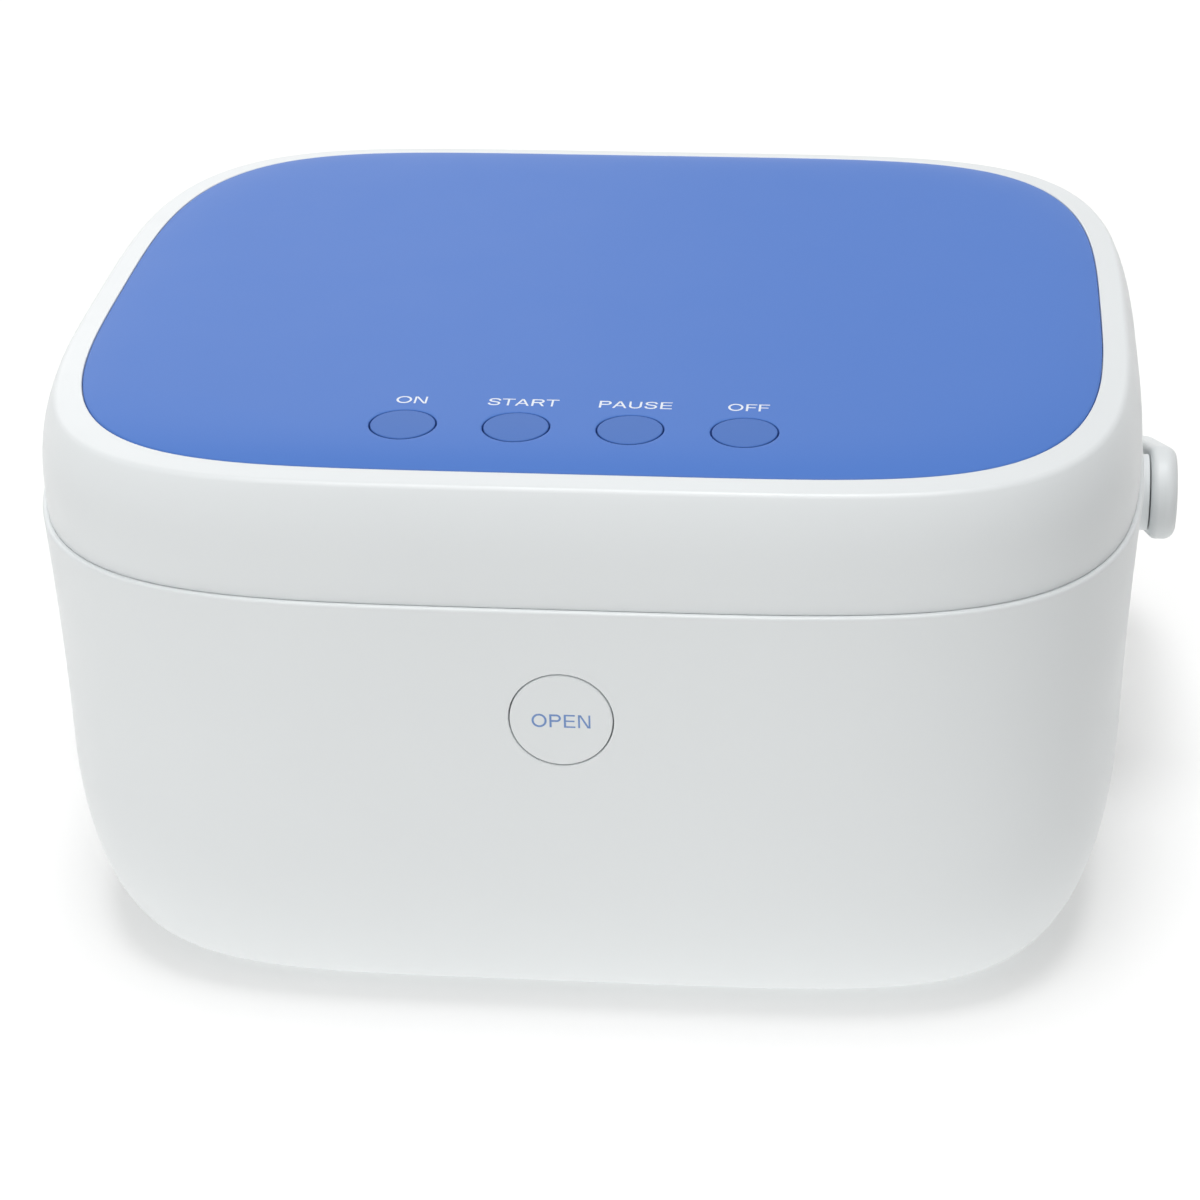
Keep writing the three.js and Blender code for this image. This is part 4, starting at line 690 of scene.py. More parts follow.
def handle_skin():
    """The bail: its section carried along an arm, round a bend and along the crossbar while it thickens from
    the arm's thickness to the grip's, and turned about the pivot at each arm's end."""
    reach, bend, arm, grip = HANDLE_REACH, 52.0, ARM_THICKNESS / 2, 5.5
    middle = (ARM_INNER + ARM_OUTER) / 2
    corner = np.array([ARM_INNER - bend, reach - bend])
    stations = [((middle, y), (1.0, 0.0), arm) for y in (0, 10, 25, 45, 65, 78)]
    for share in np.linspace(0, 1, 25):
        out = np.array([math.cos(share * math.pi / 2), math.sin(share * math.pi / 2)])
        half = arm + (grip - arm) * share
        stations.append((corner + out * (bend + half), out, half))
    stations += [((x, reach + grip), (0.0, 1.0), grip) for x in (85, 60, 35, 12)]
    rows = []
    for place, out, half in stations:
        section = half_section(half)
        ring = np.concatenate([section, section[-2:0:-1] * (1, -1)])
        plan = np.asarray(place) + ring[:, :1] * np.asarray(out)
        rows.append(np.column_stack([plan, ring[:, 1]]))
    rows = np.array(rows)
    skin = Skin().grid(np.concatenate([rows, rows[::-1] * (-1, 1, 1)]))
    section = half_section(arm)
    angle = np.radians(np.linspace(0, 180, 37))[:, None]
    across = np.broadcast_to(middle + section[:, 0], (len(angle), len(section)))
    end = np.stack([across, -section[:, 1] * np.sin(angle), section[:, 1] * np.cos(angle)], axis=-1)
    skin.grid(end, wrap=False).grid(end * (-1, 1, 1), wrap=False)
    cosine, sine = math.cos(HANDLE_REST), math.sin(HANDLE_REST)

    def laid_back(points):
        x, y, z = points.T
        return np.column_stack([x, PIVOT_Y + y * cosine + z * sine, PIVOT_Z - y * sine + z * cosine])

    return skin.mapped(laid_back)


# Base, chamber, rack and lid underside

def base_plate_skin():
    drawn = body_inset(BODY_HEIGHT) + PLATE_MARGIN
    return Skin().closed_ends([
        ring_at(outline(HALF_WIDTH - drawn + grow, HALF_DEPTH - drawn + grow, BASE_POWER), z)
        for grow, z in soft_edges(0, FOOT_HEIGHT, FOOT_HEIGHT + PLATE_THICKNESS, 0.3)])


BASE_HALF = (HALF_WIDTH - float(body_inset(BODY_HEIGHT)), HALF_DEPTH - float(body_inset(BODY_HEIGHT)))
FOOT_X, FOOT_Y = (half - FOOT_MARGIN for half in BASE_HALF)
SCREW_X, SCREW_Y = (half - PLATE_MARGIN - SCREW_MARGIN for half in BASE_HALF)
FEET = [(-FOOT_X, -FOOT_Y), (FOOT_X, -FOOT_Y), (-FOOT_X, FOOT_Y), (FOOT_X, FOOT_Y)]
SCREWS = [(SCREW_X, 0), (0, SCREW_Y), (-SCREW_X, 0), (0, -SCREW_Y)]


def plate_cutters():
    """Seven vent slots, four round foot seats and four stepped screw holes."""
    top = FOOT_HEIGHT + PLATE_THICKNESS + OVERRUN
    tools = rounded_block((0, 0, FOOT_HEIGHT), VENT_HALF, VENT_HALF[0] - 0.01, CUT_EDGE)
    tools.copies(*[((i - (VENT_COUNT - 1) / 2) * VENT_PITCH, 0, 0) for i in range(VENT_COUNT)])
    for x, y in FEET:
        tools.joined(rod("z", (x, y, 0), FOOT_RADIUS + GAP, -OVERRUN, FOOT_HEIGHT + FOOT_SEAT, CUT_EDGE))
    head, shank, seat = SCREW_HEAD_RADIUS + GAP, SCREW_RADIUS + GAP, SCREW_HEAD_DEPTH + GAP + FOOT_HEIGHT
    for x, y in SCREWS:
        tools.joined(lathe("z", (x, y, 0), [(head, -OVERRUN), (head, seat), (shank, seat), (shank, top)], 32))
    return tools


def foot_skin(x, y):
    """A rubber foot: a round tread below, straight sides and a softened top in the plate's seat."""
    top = FOOT_HEIGHT + FOOT_SEAT - GAP
    tread = [(FOOT_RADIUS - 1 + c, 1 + s) for c, s in turned_corner(1.0, -90, 0, 5)]
    profile = [(6, 0.0), (7.4, 0.0), *tread, (FOOT_RADIUS, top - EDGE), (FOOT_RADIUS - EDGE, top)]
    return lathe("z", (x, y, 0), profile)


FLANGE_TOP = SEAM_Z - LEDGE_DROP + GAP + SHEET
TUB_FLOOR = FLANGE_TOP - TUB_DEPTH
TUB_HALF = (HALF_WIDTH - 24.5, HALF_DEPTH - 29.2)
TUB_SLOPE = math.tan(math.radians(3))


def tub_ring(depth, drawn):
    size = TUB_HALF[0] - TUB_SLOPE * depth - drawn, TUB_HALF[1] - TUB_SLOPE * depth - drawn
    return ring_at(outline(*size, SEAM_POWER), FLANGE_TOP - depth)


def tub_skin():
    """The pressed tub from the middle of its floor up the inner side, over the rolled mouth and the flange,
    and down the outer side to the middle again. Rings keep the draft, and quarter circles turn the floor and
    the mouth."""
    turn, roll, reach = 12.0, 1.6, 0.6
    straight = TUB_DEPTH - turn
    low = [(straight + s, turn - c) for c, s in turned_corner(turn, 90, 0, 10)]
    inner = [(low[0][0], low[0][1] + step) for step in (70, 40, 15)] + low
    inner += [(d, 0.0) for d in (60, 40, 20, roll + 1)]
    inner += [(roll - s, c - roll) for c, s in turned_corner(roll, 0, 90, 5)] + [(0, -roll - reach)]
    rows = [tub_ring(d, i) for d, i in inner]
    inset = float(body_inset(LEDGE_DROP)) + WALL + 0.6
    flange = [(1, 0), (0.4, 0), (0, 0.3), (0, 1.2), (0.4, SHEET), (1, SHEET)]
    rows += [ring_at(outline(HALF_WIDTH - inset - e, HALF_DEPTH - inset - e, SEAM_POWER), FLANGE_TOP - drop)
             for e, drop in flange]
    outer = [(SHEET + s, i - SHEET) for s, i in ((0, -reach), (0, 0), (18, 0), (60, 0))]
    outer += [(d + SHEET * (d - straight) / turn, i - SHEET * (1 - i / turn)) for d, i in low[::-1]]
    return Skin().closed_ends(rows + [tub_ring(d, i) for d, i in outer])


RACK_LIFT, RACK_MARGIN = 16, 5
RACK_Z = TUB_FLOOR + RACK_LIFT
RACK_HALF = [half - TUB_SLOPE * TUB_DEPTH - RACK_MARGIN for half in TUB_HALF]
RIM_WIRE, RACK_WIRE = 1.7, 1.15
RACK_WIRES, RACK_PITCH = 13, 15.5
LEG_X, LEG_Y = 84.0, 46.0


def rack_skin():
    """The rack: a closed rim wire, straight wires welded across it, two cross wires below and four legs."""
    half_x, half_y = RACK_HALF
    px, py = SEAM_POWER
    skin = wire(ring_at(outline(half_x, half_y, SEAM_POWER), RACK_Z), RIM_WIRE, 14, closed=True)
    for x in (np.arange(RACK_WIRES) - (RACK_WIRES - 1) / 2) * RACK_PITCH:
        reach = half_y * (1 - abs(x / half_x) ** px) ** (1 / py)
        skin.joined(wire([(x, -reach, RACK_Z), (x, 0, RACK_Z), (x, reach, RACK_Z)], RACK_WIRE))
    low = RACK_Z - RACK_WIRE * 1.5
    for y in (-LEG_Y, LEG_Y):
        reach = half_x * (1 - abs(y / half_y) ** py) ** (1 / px)
        skin.joined(wire([(-reach, y, low), (0, y, low), (reach, y, low)], RACK_WIRE))
        for x in (-LEG_X, LEG_X):
            skin.joined(wire([(x, y, TUB_FLOOR + GAP + 1.1), (x, y, low)], RACK_WIRE))
    return skin


LINER_LIFT, LINER_THICKNESS = 1.8, 2.2
LAMP_POST, LAMP_POST_HALF, LAMP_POST_Z = (38, 12.775), (1.3, 2.425, 3.05), SEAM_Z + 11.55


def liner_skin():
    """The lid's liner: a flat edge and a dish that rises along an S-curve, as one sheet, and four posts that
    carry the lamp board. Rows are (height above the seam, inset from the side) pairs."""
    edge, dish, sheet = LINER_LIFT, 5, LINER_THICKNESS
    curve = [(edge + dish * u * u * (3 - 2 * u), 24 + 6 * u) for u in np.linspace(0, 1, 9)]
    over = [(edge, 3.5), (edge, 14)] + curve + [(edge + dish, inset) for inset in (45, 70, 95)]
    rows = over[::-1] + [(2.1, 3.1), (3.7, 3.1)] + [(height + sheet, inset) for height, inset in over]
    skin = Skin().closed_ends([lid_ring(height, inset) for height, inset in rows])
    for sx, sy in ((-1, -1), (-1, 1), (1, -1), (1, 1)):
        centre = (sx * LAMP_POST[0], sy * LAMP_POST[1], LAMP_POST_Z)
        skin.joined(rounded_block(centre, LAMP_POST_HALF, 0.4, EDGE))
    return skin


def seal_skin():
    """The seal: a tapered lip section carried round the lid's plan, between the tub's flange and the
    liner. Its points are (height above the seam, inset from the side) pairs."""
    bottom, top = FLANGE_TOP + GAP - SEAM_Z, LINER_LIFT - GAP
    section = [(top, 9.9), (top - 0.3, 9.6), (bottom + 1.2, 10.4), (bottom + 0.4, 10.8), (bottom, 11.3),
               (bottom, 11.9), (bottom + 0.4, 12.4), (bottom + 1.2, 12.8), (top - 0.3, 13.6), (top, 13.3)]
    return Skin().grid([lid_ring(height, inset) for height, inset in section], closed=True)


HINGE_RADIUS, HINGE_PIN, PIN_END = 6, 2, 44
HINGE_Y = HALF_DEPTH + 2 * GAP + HINGE_RADIUS
SPRING_ROOM = 4.5
KNUCKLE_HALF, EAR_HALF = 30, 6.5
EAR_X = KNUCKLE_HALF + GAP + EAR_HALF
LEAF_HALF = 1.2


def hinge_leaf(x, half, bore, wall, plate, web, web_end):
    """A hinge's barrel, the plate that holds it on a wall and the web from the wall to a distance behind it.
    The plate is its height and half height, the web its height, half width and half height."""
    skin = tube_shell("x", (x, HINGE_Y, SEAM_Z), HINGE_RADIUS, bore, -half, half)
    rise, tall = plate
    skin.joined(rounded_block((x, wall + LEAF_HALF, SEAM_Z + rise), (half, LEAF_HALF, tall), 1.2, 0.4, "y"))
    rise, wide, tall = web
    middle, reach = (wall + web_end) / 2, (web_end - wall) / 2
    return skin.joined(rounded_block((x, middle, SEAM_Z + rise), (wide, reach, tall), 0.5, EDGE))


def knuckle_skin():
    wall = HALF_DEPTH + GAP + LID_BULGE
    web, web_end = (3.1, KNUCKLE_HALF - 0.4, 2.4), HINGE_Y - SPRING_ROOM - 0.1
    return hinge_leaf(0, KNUCKLE_HALF, SPRING_ROOM, wall, (5.35, 4.65), web, web_end)


def ear_skin(side):
    wall = HALF_DEPTH + GAP - float(body_inset(LEDGE_DROP))
    web = (-5.7, EAR_HALF - 0.3, 2.7)
    return hinge_leaf(side * EAR_X, EAR_HALF, HINGE_PIN + GAP, wall, (-10.85, 10.15), web, HINGE_Y)


def hinge_pin_skin():
    skin = rod("x", (0, HINGE_Y, SEAM_Z), HINGE_PIN, -PIN_END, PIN_END, 0.1, 24)
    for side in (-1, 1):
        skin.joined(rod("x", (side * (PIN_END + 0.4), HINGE_Y, SEAM_Z), 3.2, -0.7, 0.7, 0.4, 32))
    return skin


def inlet_skin():
    """The socket: rings of round-cornered rectangles from the housing's closed end out to the flange, over
    its face and back into the mouth, with two pins inside."""
    wall = float(wall_reach("back", INLET_X - 12.5, SEAM_Z - 39, 0)) + 2 * GAP
    face = wall + 1.6
    housing, flange, mouth = (*INLET_HALF, 2), (12.5, 9, 2), (7.6, 4.3, 3.95)
    table = [(housing, 0.3, face - 20), (housing, 0, face - 19.7), (housing, 0, wall), (flange, 0.2, wall)]
    table += [(flange, 0, wall + 0.2)]
    table += [(flange, 0.6 - c, face - 0.6 + s) for c, s in turned_corner(0.6, 0, 90, 4)]
    table += [(mouth, -0.6, face), (mouth, -0.4, face)]
    table += [(mouth, c - 0.3, face - 0.3 + s) for c, s in turned_corner(0.3, 90, 0, 3)]
    table += [(mouth, 0, face - 14)]
    rows = []
    for (half_x, half_z, corner), inset, y in table:
        plan = rounded_plan(half_x - inset, half_z - inset, corner - inset)
        rows.append(np.column_stack([INLET_X + plan[:, 0], np.full(len(plan), y), INLET_Z + plan[:, 1]]))
    skin = Skin().closed_ends(rows)
    for side in (-4.2, 4.2):
        skin.joined(rod("y", (INLET_X + side, 0, INLET_Z), 1.15, face - 14.5, face - 6, 0.3, 24))
    return skin


COIL_WIRE, COIL_RADIUS, COIL_TURNS, COIL_STEPS = 0.35, 5.4, 3, 109
COIL_ENDS = (FRONT_INNER + GAP + BUTTON_FLANGE_THICKNESS + GAP + COIL_WIRE, BRACKET_Y - GAP - COIL_WIRE)


def coil_skin():
    """The button's spring: a helix about the button's axis, from its flange to the latch bracket."""
    angle = np.linspace(0, COIL_TURNS * 2 * np.pi, COIL_STEPS)
    along = np.linspace(*COIL_ENDS, COIL_STEPS)
    path = np.column_stack([COIL_RADIUS * np.sin(angle), along, BUTTON_Z + COIL_RADIUS * np.cos(angle)])
    return wire(path, COIL_WIRE, 10)


# Finishes

class Tree:
    """The nodes of a material or of the world, with short ways to make, feed and join them."""

    def __init__(self, owner):
        owner.use_nodes = True
        self.nodes, self.links = owner.node_tree.nodes, owner.node_tree.links

    def feed(self, target, value):
        """Sets an input to a value, or links a socket to it."""
        if isinstance(value, bpy.types.NodeSocket):
            self.links.new(value, target)
        else:
            target.default_value = value

    def node(self, kind, settings=(), **inputs):
        made = self.nodes.new("ShaderNode" + kind)
        for attribute, value in dict(settings).items():
            setattr(made, attribute, value)
        for socket, value in inputs.items():
            self.feed(made.inputs[socket.replace("_", " ")], value)
        return made

    def maths(self, operation, first, second):
        """One step of arithmetic on two values, each a socket or a number."""
        made = self.node("Math", {"operation": operation})
        self.feed(made.inputs[0], first)
        self.feed(made.inputs[1], second)
        return made.outputs[0]

    def ranged(self, value, **limits):
        """A value moved from one range to another, each 0 to 1 where no limit says otherwise."""
        return self.node("MapRange", Value=value, **limits).outputs["Result"]

    def seen_directly(self):
        """1 for camera, glossy and transmission rays, 0 for the rays that light things."""
        path = self.node("LightPath").outputs
        either = self.maths("MAXIMUM", path["Is Camera Ray"], path["Is Glossy Ray"])
        return self.maths("MAXIMUM", either, path["Is Transmission Ray"])


class Finish(Tree):
    """A node material on Object coordinates, built step by step onto one Principled shader."""

    def __init__(self, name, **sockets):
        self.material = bpy.data.materials.new(name)
        super().__init__(self.material)
        self.shader = self.nodes["Principled BSDF"]
        for socket, value in sockets.items():
            self.shader.inputs[socket.replace("_", " ")].default_value = value
        self.place = self.node("TexCoord").outputs["Object"]
        self.normal = None

    def noise(self, scale, detail=2.0, stretch=(1, 1, 1)):
        """Noise with its scale in cycles per metre, stretched along the axes."""
        placed_here = self.node("Mapping", Vector=self.place, Scale=stretch).outputs["Vector"]
        return self.node("TexNoise", Vector=placed_here, Scale=scale, Detail=detail).outputs["Fac"]

    def spread(self, noise, low, high):
        """Noise, which lies mostly between 0.3 and 0.7, turned into a value between two limits."""
        return self.ranged(noise, From_Min=0.3, From_Max=0.7, To_Min=low, To_Max=high)

    def shade(self, factor, first, second):
        """A blend of two colours by a factor from 0 to 1."""
        mix = self.node("Mix", {"data_type": "RGBA"}, Factor=factor)
        for socket, colour in (("A", first), ("B", second)):
            target = next(i for i in mix.inputs if i.name == socket and i.type == "RGBA")
            self.feed(target, colour if isinstance(colour, bpy.types.NodeSocket) else (*colour, 1))
        return next(o for o in mix.outputs if o.type == "RGBA")

    def colour(self, result):
        self.links.new(result, self.shader.inputs["Base Color"])

    def roughness(self, result):
        self.links.new(result, self.shader.inputs["Roughness"])

    def relief(self, height, depth, strength=1.0):
        """Bump of a real depth in metres, laid over the bump made before."""
        bump = self.node("Bump", Height=height, Distance=depth, Strength=strength)
        if self.normal is not None:
            self.links.new(self.normal, bump.inputs["Normal"])
        self.normal = bump.outputs["Normal"]
        self.links.new(self.normal, self.shader.inputs["Normal"])


def scaled(colour, share):
    return tuple(value * share for value in colour)


def moulded_plastic(name, colour, gloss, grain=900, depth=0.00002, cloud=0.02, wave=0.25, patchy=0.05,
                    **sockets):
    """Moulded plastic: fine spark grain, slow waviness of the moulding, faint clouding and uneven gloss."""
    finish = Finish(name, Roughness=gloss, **sockets)
    slow = finish.noise(9, 3)
    finish.colour(finish.shade(finish.spread(slow, 0, 1), scaled(colour, 1 - cloud), colour))
    finish.roughness(finish.spread(finish.noise(60, 4), gloss - patchy, gloss + patchy))
    finish.relief(finish.noise(14, 1), 0.0002, wave)
    finish.relief(finish.noise(grain, 3), depth, 0.5)
    return finish.material


def rolled_steel(name, gloss, along, lines=500):
    """Sheet or wire of bright steel with fine lines along one axis and slightly uneven gloss."""
    finish = Finish(name, Metallic=1.0)
    brushed = finish.noise(lines, 4, along)
    clouds = finish.spread(finish.noise(20, 3), 0, 1)
    finish.colour(finish.shade(clouds, (0.66, 0.67, 0.68), (0.74, 0.75, 0.76)))
    finish.roughness(finish.spread(brushed, gloss - 0.06, gloss + 0.09))
    finish.relief(brushed, 0.00001, 0.6)
    return finish.material


def soft_rubber(name, colour):
    """Matt rubber with a fine bloom and dusty high spots."""
    finish = Finish(name)
    bloom = finish.noise(300, 5)
    finish.colour(finish.shade(finish.spread(bloom, 0, 1), colour, scaled(colour, 1.35)))
    finish.roughness(finish.spread(bloom, 0.72, 0.9))
    finish.relief(finish.noise(2200, 2), 0.00003, 0.7)
    return finish.material


def etched_board(name):
    """Circuit board: green lacquer over a grid of copper runs, with a raised edge along each run."""
    finish = Finish(name, Specular_IOR_Level=0.5)
    runs = finish.node("TexBrick", {"offset": 0.5}, Vector=finish.place, Scale=120.0, Mortar_Size=0.03)
    clouds = finish.spread(finish.noise(40, 3), 0, 1)
    lacquer = finish.shade(clouds, (0.008, 0.085, 0.04), (0.012, 0.12, 0.055))
    finish.colour(finish.shade(runs.outputs["Fac"], lacquer, (0.03, 0.19, 0.08)))
    finish.roughness(finish.spread(finish.noise(200, 2), 0.28, 0.42))
    finish.relief(runs.outputs["Fac"], 0.00004)
    return finish.material


def frosted_window(name):
    """Quartz lamp window with a light frosting."""
    finish = Finish(name, Transmission_Weight=0.92, IOR=1.46)
    frost = finish.noise(700, 3)
    finish.colour(finish.shade(finish.spread(frost, 0, 1), (0.86, 0.9, 0.96), (0.93, 0.95, 0.98)))
    finish.roughness(finish.spread(frost, 0.16, 0.32))
    finish.relief(frost, 0.00001, 0.5)
    return finish.material


def printed_ink(name, colour):
    """Pad-printed ink: almost even colour with a light mottle and a satin film."""
    finish = Finish(name)
    mottle = finish.noise(1500, 3)
    finish.colour(finish.shade(finish.spread(mottle, 0, 1), scaled(colour, 0.94), colour))
    finish.roughness(finish.spread(mottle, 0.38, 0.5))
    return finish.material


SHELL_WHITE = (0.80, 0.828, 0.838)
PANEL_BLUE = (0.090, 0.209, 0.598)

white_shell = moulded_plastic("white_shell", SHELL_WHITE, 0.36, Specular_IOR_Level=0.45)
# The handle is the shell's white plastic. Its colour darkened to 0.92 of the shell's is painted shade.
shaded_handle_white = moulded_plastic("shaded_handle_white", scaled(SHELL_WHITE, 0.92), 0.42, grain=700, depth=0.00003)
SATIN = dict(grain=1400, depth=0.000008, cloud=0.005, wave=0.0, patchy=0.01, Specular_IOR_Level=0.07)
blue_panel = moulded_plastic("blue_panel", PANEL_BLUE, 0.42, **SATIN)
key_blue = moulded_plastic("key_blue", scaled(PANEL_BLUE, 0.87), 0.42, **SATIN)
liner_plastic = moulded_plastic("liner_plastic", (0.62, 0.65, 0.67), 0.45, grain=800)
dark_plastic = moulded_plastic("dark_plastic", (0.02, 0.021, 0.023), 0.42, grain=600, depth=0.00003)
chamber_steel = rolled_steel("chamber_steel", 0.22, (1, 0.04, 1))
rack_wire = rolled_steel("rack_wire", 0.16, (1, 0.1, 1), 800)
spring_steel = rolled_steel("spring_steel", 0.28, (1, 1, 1), 900)
seal_rubber = soft_rubber("seal_rubber", (0.30, 0.32, 0.33))
foot_rubber = soft_rubber("foot_rubber", (0.16, 0.17, 0.175))
circuit_board = etched_board("circuit_board")
lamp_window = frosted_window("lamp_window")
white_print = printed_ink("white_print", (0.80, 0.84, 0.90))
blue_print = printed_ink("blue_print", (0.15, 0.28, 0.59))


# Pieces

show("body_moulding", base_shell_skin(), white_shell, "case", "white_shell", "base_shell")
show("lid_moulding", lid_shell_skin(), white_shell, "lid", "white_shell", "lid_shell")
show("blue_top", panel_skin(), blue_panel, "lid", "blue_panel", "top_panel")
for name, x in KEY_PLACES:
    show(f"{name}_cap", key_skin(x), key_blue, f"{name}_key", "blue_panel", f"key_{name}")
show("push_button", button_skin(), white_shell, "front_button", "white_shell", "open_button")


def pivot_rod(side, radius, start, end, edge=0.3):
    """A rod on the handle's axis between two distances from the middle, on the left (-1) or the right (1)."""
    return rod("x", (0, PIVOT_Y, PIVOT_Z), radius, *sorted((side * start, side * end)), edge)


bail = show("bail", handle_skin(), shaded_handle_white, "handle", "white_shell", "carry_handle")
seat = ARM_OUTER - (GAP + NUT_THICKNESS + GAP + CAP_THICKNESS)
# The pins' bores are cut before the caps' wider seats, because cutters that overlap spoil each other's cut
for radius, start in ((PIN_RADIUS + GAP, ARM_INNER - OVERRUN), (CAP_RADIUS + GAP, seat)):
    left = pivot_rod(-1, radius, start, ARM_OUTER + OVERRUN)
    carve(bail, left.joined(pivot_rod(1, radius, start, ARM_OUTER + OVERRUN)))
for name, side in (("left", -1), ("right", 1)):
    cap = pivot_rod(side, CAP_RADIUS + 0.22, ARM_OUTER - CAP_THICKNESS, ARM_OUTER, EDGE)
    show(f"pivot_cap_{name}", cap, shaded_handle_white, "handle", "white_shell", f"handle_cap_{name}")

plate = show("bottom_plate", base_plate_skin(), white_shell, "case", "white_shell", "base_plate")
carve(plate, plate_cutters())
for i, (x, y) in enumerate(FEET, 1):
    show(f"rubber_foot_{i}", foot_skin(x, y), foot_rubber, "case", "foot_rubber", f"foot_{i}")

tub = show("steel_tub", tub_skin(), chamber_steel, "case", "chamber_steel", "chamber_tub")
room_start = LEVER_Y - 2 * LEVER_HALF - 2 * BUTTON_TRAVEL
room_end = LEVER_Y + LEVER_HALF + HOOK_NOSE + CATCH_SLIP + CATCH_LIP + CATCH_TONGUE + 3 * GAP
middle, reach = (room_start + room_end) / 2, (room_end - room_start) / 2
hook_slot = rounded_block((0, middle, FLANGE_TOP), (HOOK_ROOM_HALF, reach, 6), 0.5, CUT_EDGE)
carve(tub, hook_slot.joined(rounded_block((0, 0, TUB_FLOOR), (*LAMP_OPENING, 5), LAMP_CORNER, CUT_EDGE)))
show("rack_wires", rack_skin(), rack_wire, "rack", "rack_wire", "wire_rack")
liner = show("lid_dish", liner_skin(), liner_plastic, "lid", "liner_plastic", "lid_liner")
carve(liner, rounded_block((0, 0, SEAM_Z + 8), (*LAMP_OPENING, 5), LAMP_CORNER, CUT_EDGE))
show("silicone_ring", seal_skin(), seal_rubber, "lid", "seal_rubber", "lid_seal")

show("lid_knuckle", knuckle_skin(), white_shell, "lid", "white_shell", "hinge_knuckle")
for name, side in (("left", -1), ("right", 1)):
    show(f"{name}_ear", ear_skin(side), white_shell, "case", "white_shell", f"hinge_ear_{name}")
show("long_pin", hinge_pin_skin(), spring_steel, "case", "spring_steel", "hinge_pin")
show("mains_socket", inlet_skin(), dark_plastic, "case", "dark_plastic", "power_inlet")

coil = show("push_spring", coil_skin(), spring_steel, None, "spring_steel", "button_spring")
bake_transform(coil)

# CAD nodes that stay as they are and get a finish
KEPT = {
    spring_steel: ["base_screw_1", "base_screw_2", "base_screw_3", "base_screw_4", "latch_pin",
                   "lid_spring", "handle_pin_left", "handle_pin_right", "lid_magnet"],
    liner_plastic: ["latch_bracket", "latch_lever", "lid_catch"],
    circuit_board: ["base_lamp_board", "driver_board", "lid_lamp_board", "control_board"],
    lamp_window: ["base_lamp_window", "lid_lamp_window"],
    dark_plastic: ["reed_switch"],
}
for finish, names in KEPT.items():
    for name in names:
        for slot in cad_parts[name].material_slots:
            slot.link = "OBJECT"
            slot.material = finish


# Printed words

STROKE = 0.14


def bar(x0, y0, x1, y1):
    """An upright rectangle as a ribbon of two pairs."""
    return [((x0, y0), (x0, y1)), ((x1, y0), (x1, y1))]


def arc(centre, radii, start, end, steps=14):
    """A curved ribbon: pairs on an ellipse and on the one a stroke inside it, between two angles."""
    (x, y), (wide, tall) = centre, radii
    angle = np.radians(np.linspace(start, end, steps + 1))
    return [tuple((x + (wide - inside) * math.cos(a), y + (tall - inside) * math.sin(a))
                  for inside in (0, STROKE)) for a in angle]


def slanted(x0, y0, x1, y1, wide):
    """A leaning stroke with level ends of a given width."""
    return [((x0, y0), (x0 + wide, y0)), ((x1, y1), (x1 + wide, y1))]


def bowl(wide, low):
    """The bowl of P and R: a level run, a half ellipse and a level run back."""
    radius = (1 - low) / 2
    turn = arc((wide - radius, low + radius), (radius, radius), 90, -90)
    return [((STROKE, 1), (STROKE, 1 - STROKE))] + turn + [((STROKE, low), (STROKE, low + STROKE))]


def s_curve():
    """The S: an upper and a lower bowl joined by a slope, as points with the stroke laid to both sides."""
    path = [(0.73, 0.71), (0.715, 0.80), (0.66, 0.885), (0.56, 0.935), (0.42, 0.955), (0.27, 0.935),
            (0.165, 0.88), (0.115, 0.80), (0.105, 0.72), (0.135, 0.64), (0.215, 0.58), (0.34, 0.54),
            (0.47, 0.505), (0.59, 0.465), (0.68, 0.405), (0.715, 0.32), (0.70, 0.215), (0.635, 0.12),
            (0.53, 0.065), (0.40, 0.045), (0.26, 0.065), (0.15, 0.12), (0.085, 0.21), (0.065, 0.315)]
    middle = np.array(path)
    along = np.gradient(middle, axis=0)
    across = np.stack([-along[:, 1], along[:, 0]], axis=1)
    beside = across / np.linalg.norm(along, axis=1, keepdims=True) * STROKE / 2
    return [(tuple(a), tuple(b)) for a, b in zip(middle + beside, middle - beside)]


# Letters in heights of a capital: width, side bearings and ribbons
STEM = bar(0, 0, STROKE, 1)
SLANT = 0.14
LETTERS = {
    "A": (0.89, 0.02, 0.02, [slanted(0, 0, 0.37, 1, SLANT), slanted(0.75, 0, 0.38, 1, SLANT),
                             bar(0.16, 0.28, 0.73, 0.395)]),
    "E": (0.74, 0.12, 0.07, [STEM, bar(STROKE, 0, 0.74, 0.115), bar(STROKE, 0.455, 0.69, 0.565),
                             bar(STROKE, 0.885, 0.72, 1)]),
    "F": (0.69, 0.12, 0.00, [STEM, bar(STROKE, 0.445, 0.61, 0.56), bar(STROKE, 0.885, 0.69, 1)]),
    "N": (0.79, 0.11, 0.11, [bar(0, 0, 0.12, 1), bar(0.67, 0, 0.79, 1), slanted(0.60, 0, 0.05, 1, SLANT)]),
    "O": (0.975, 0.055, 0.055, [arc((0.4875, 0.5), (0.4875, 0.52), 0, 360, 48)]),
    "P": (0.75, 0.12, 0.06, [STEM, bowl(0.75, 0.42)]),
    "R": (0.83, 0.12, 0.05, [STEM, bowl(0.79, 0.45), slanted(0.67, 0, 0.44, 0.47, 0.15)]),
    "S": (0.795, 0.065, 0.065, [s_curve()]),
    "T": (0.81, 0.02, 0.02, [bar(0.343, 0, 0.467, 0.885), bar(0, 0.885, 0.81, 1)]),
    "U": (0.787, 0.11, 0.11, [[((0, 1), (0.12, 1)), *arc((0.3935, 0.36), (0.3935, 0.38), 180, 360, 24),
                               ((0.787, 1), (0.667, 1))]]),
}


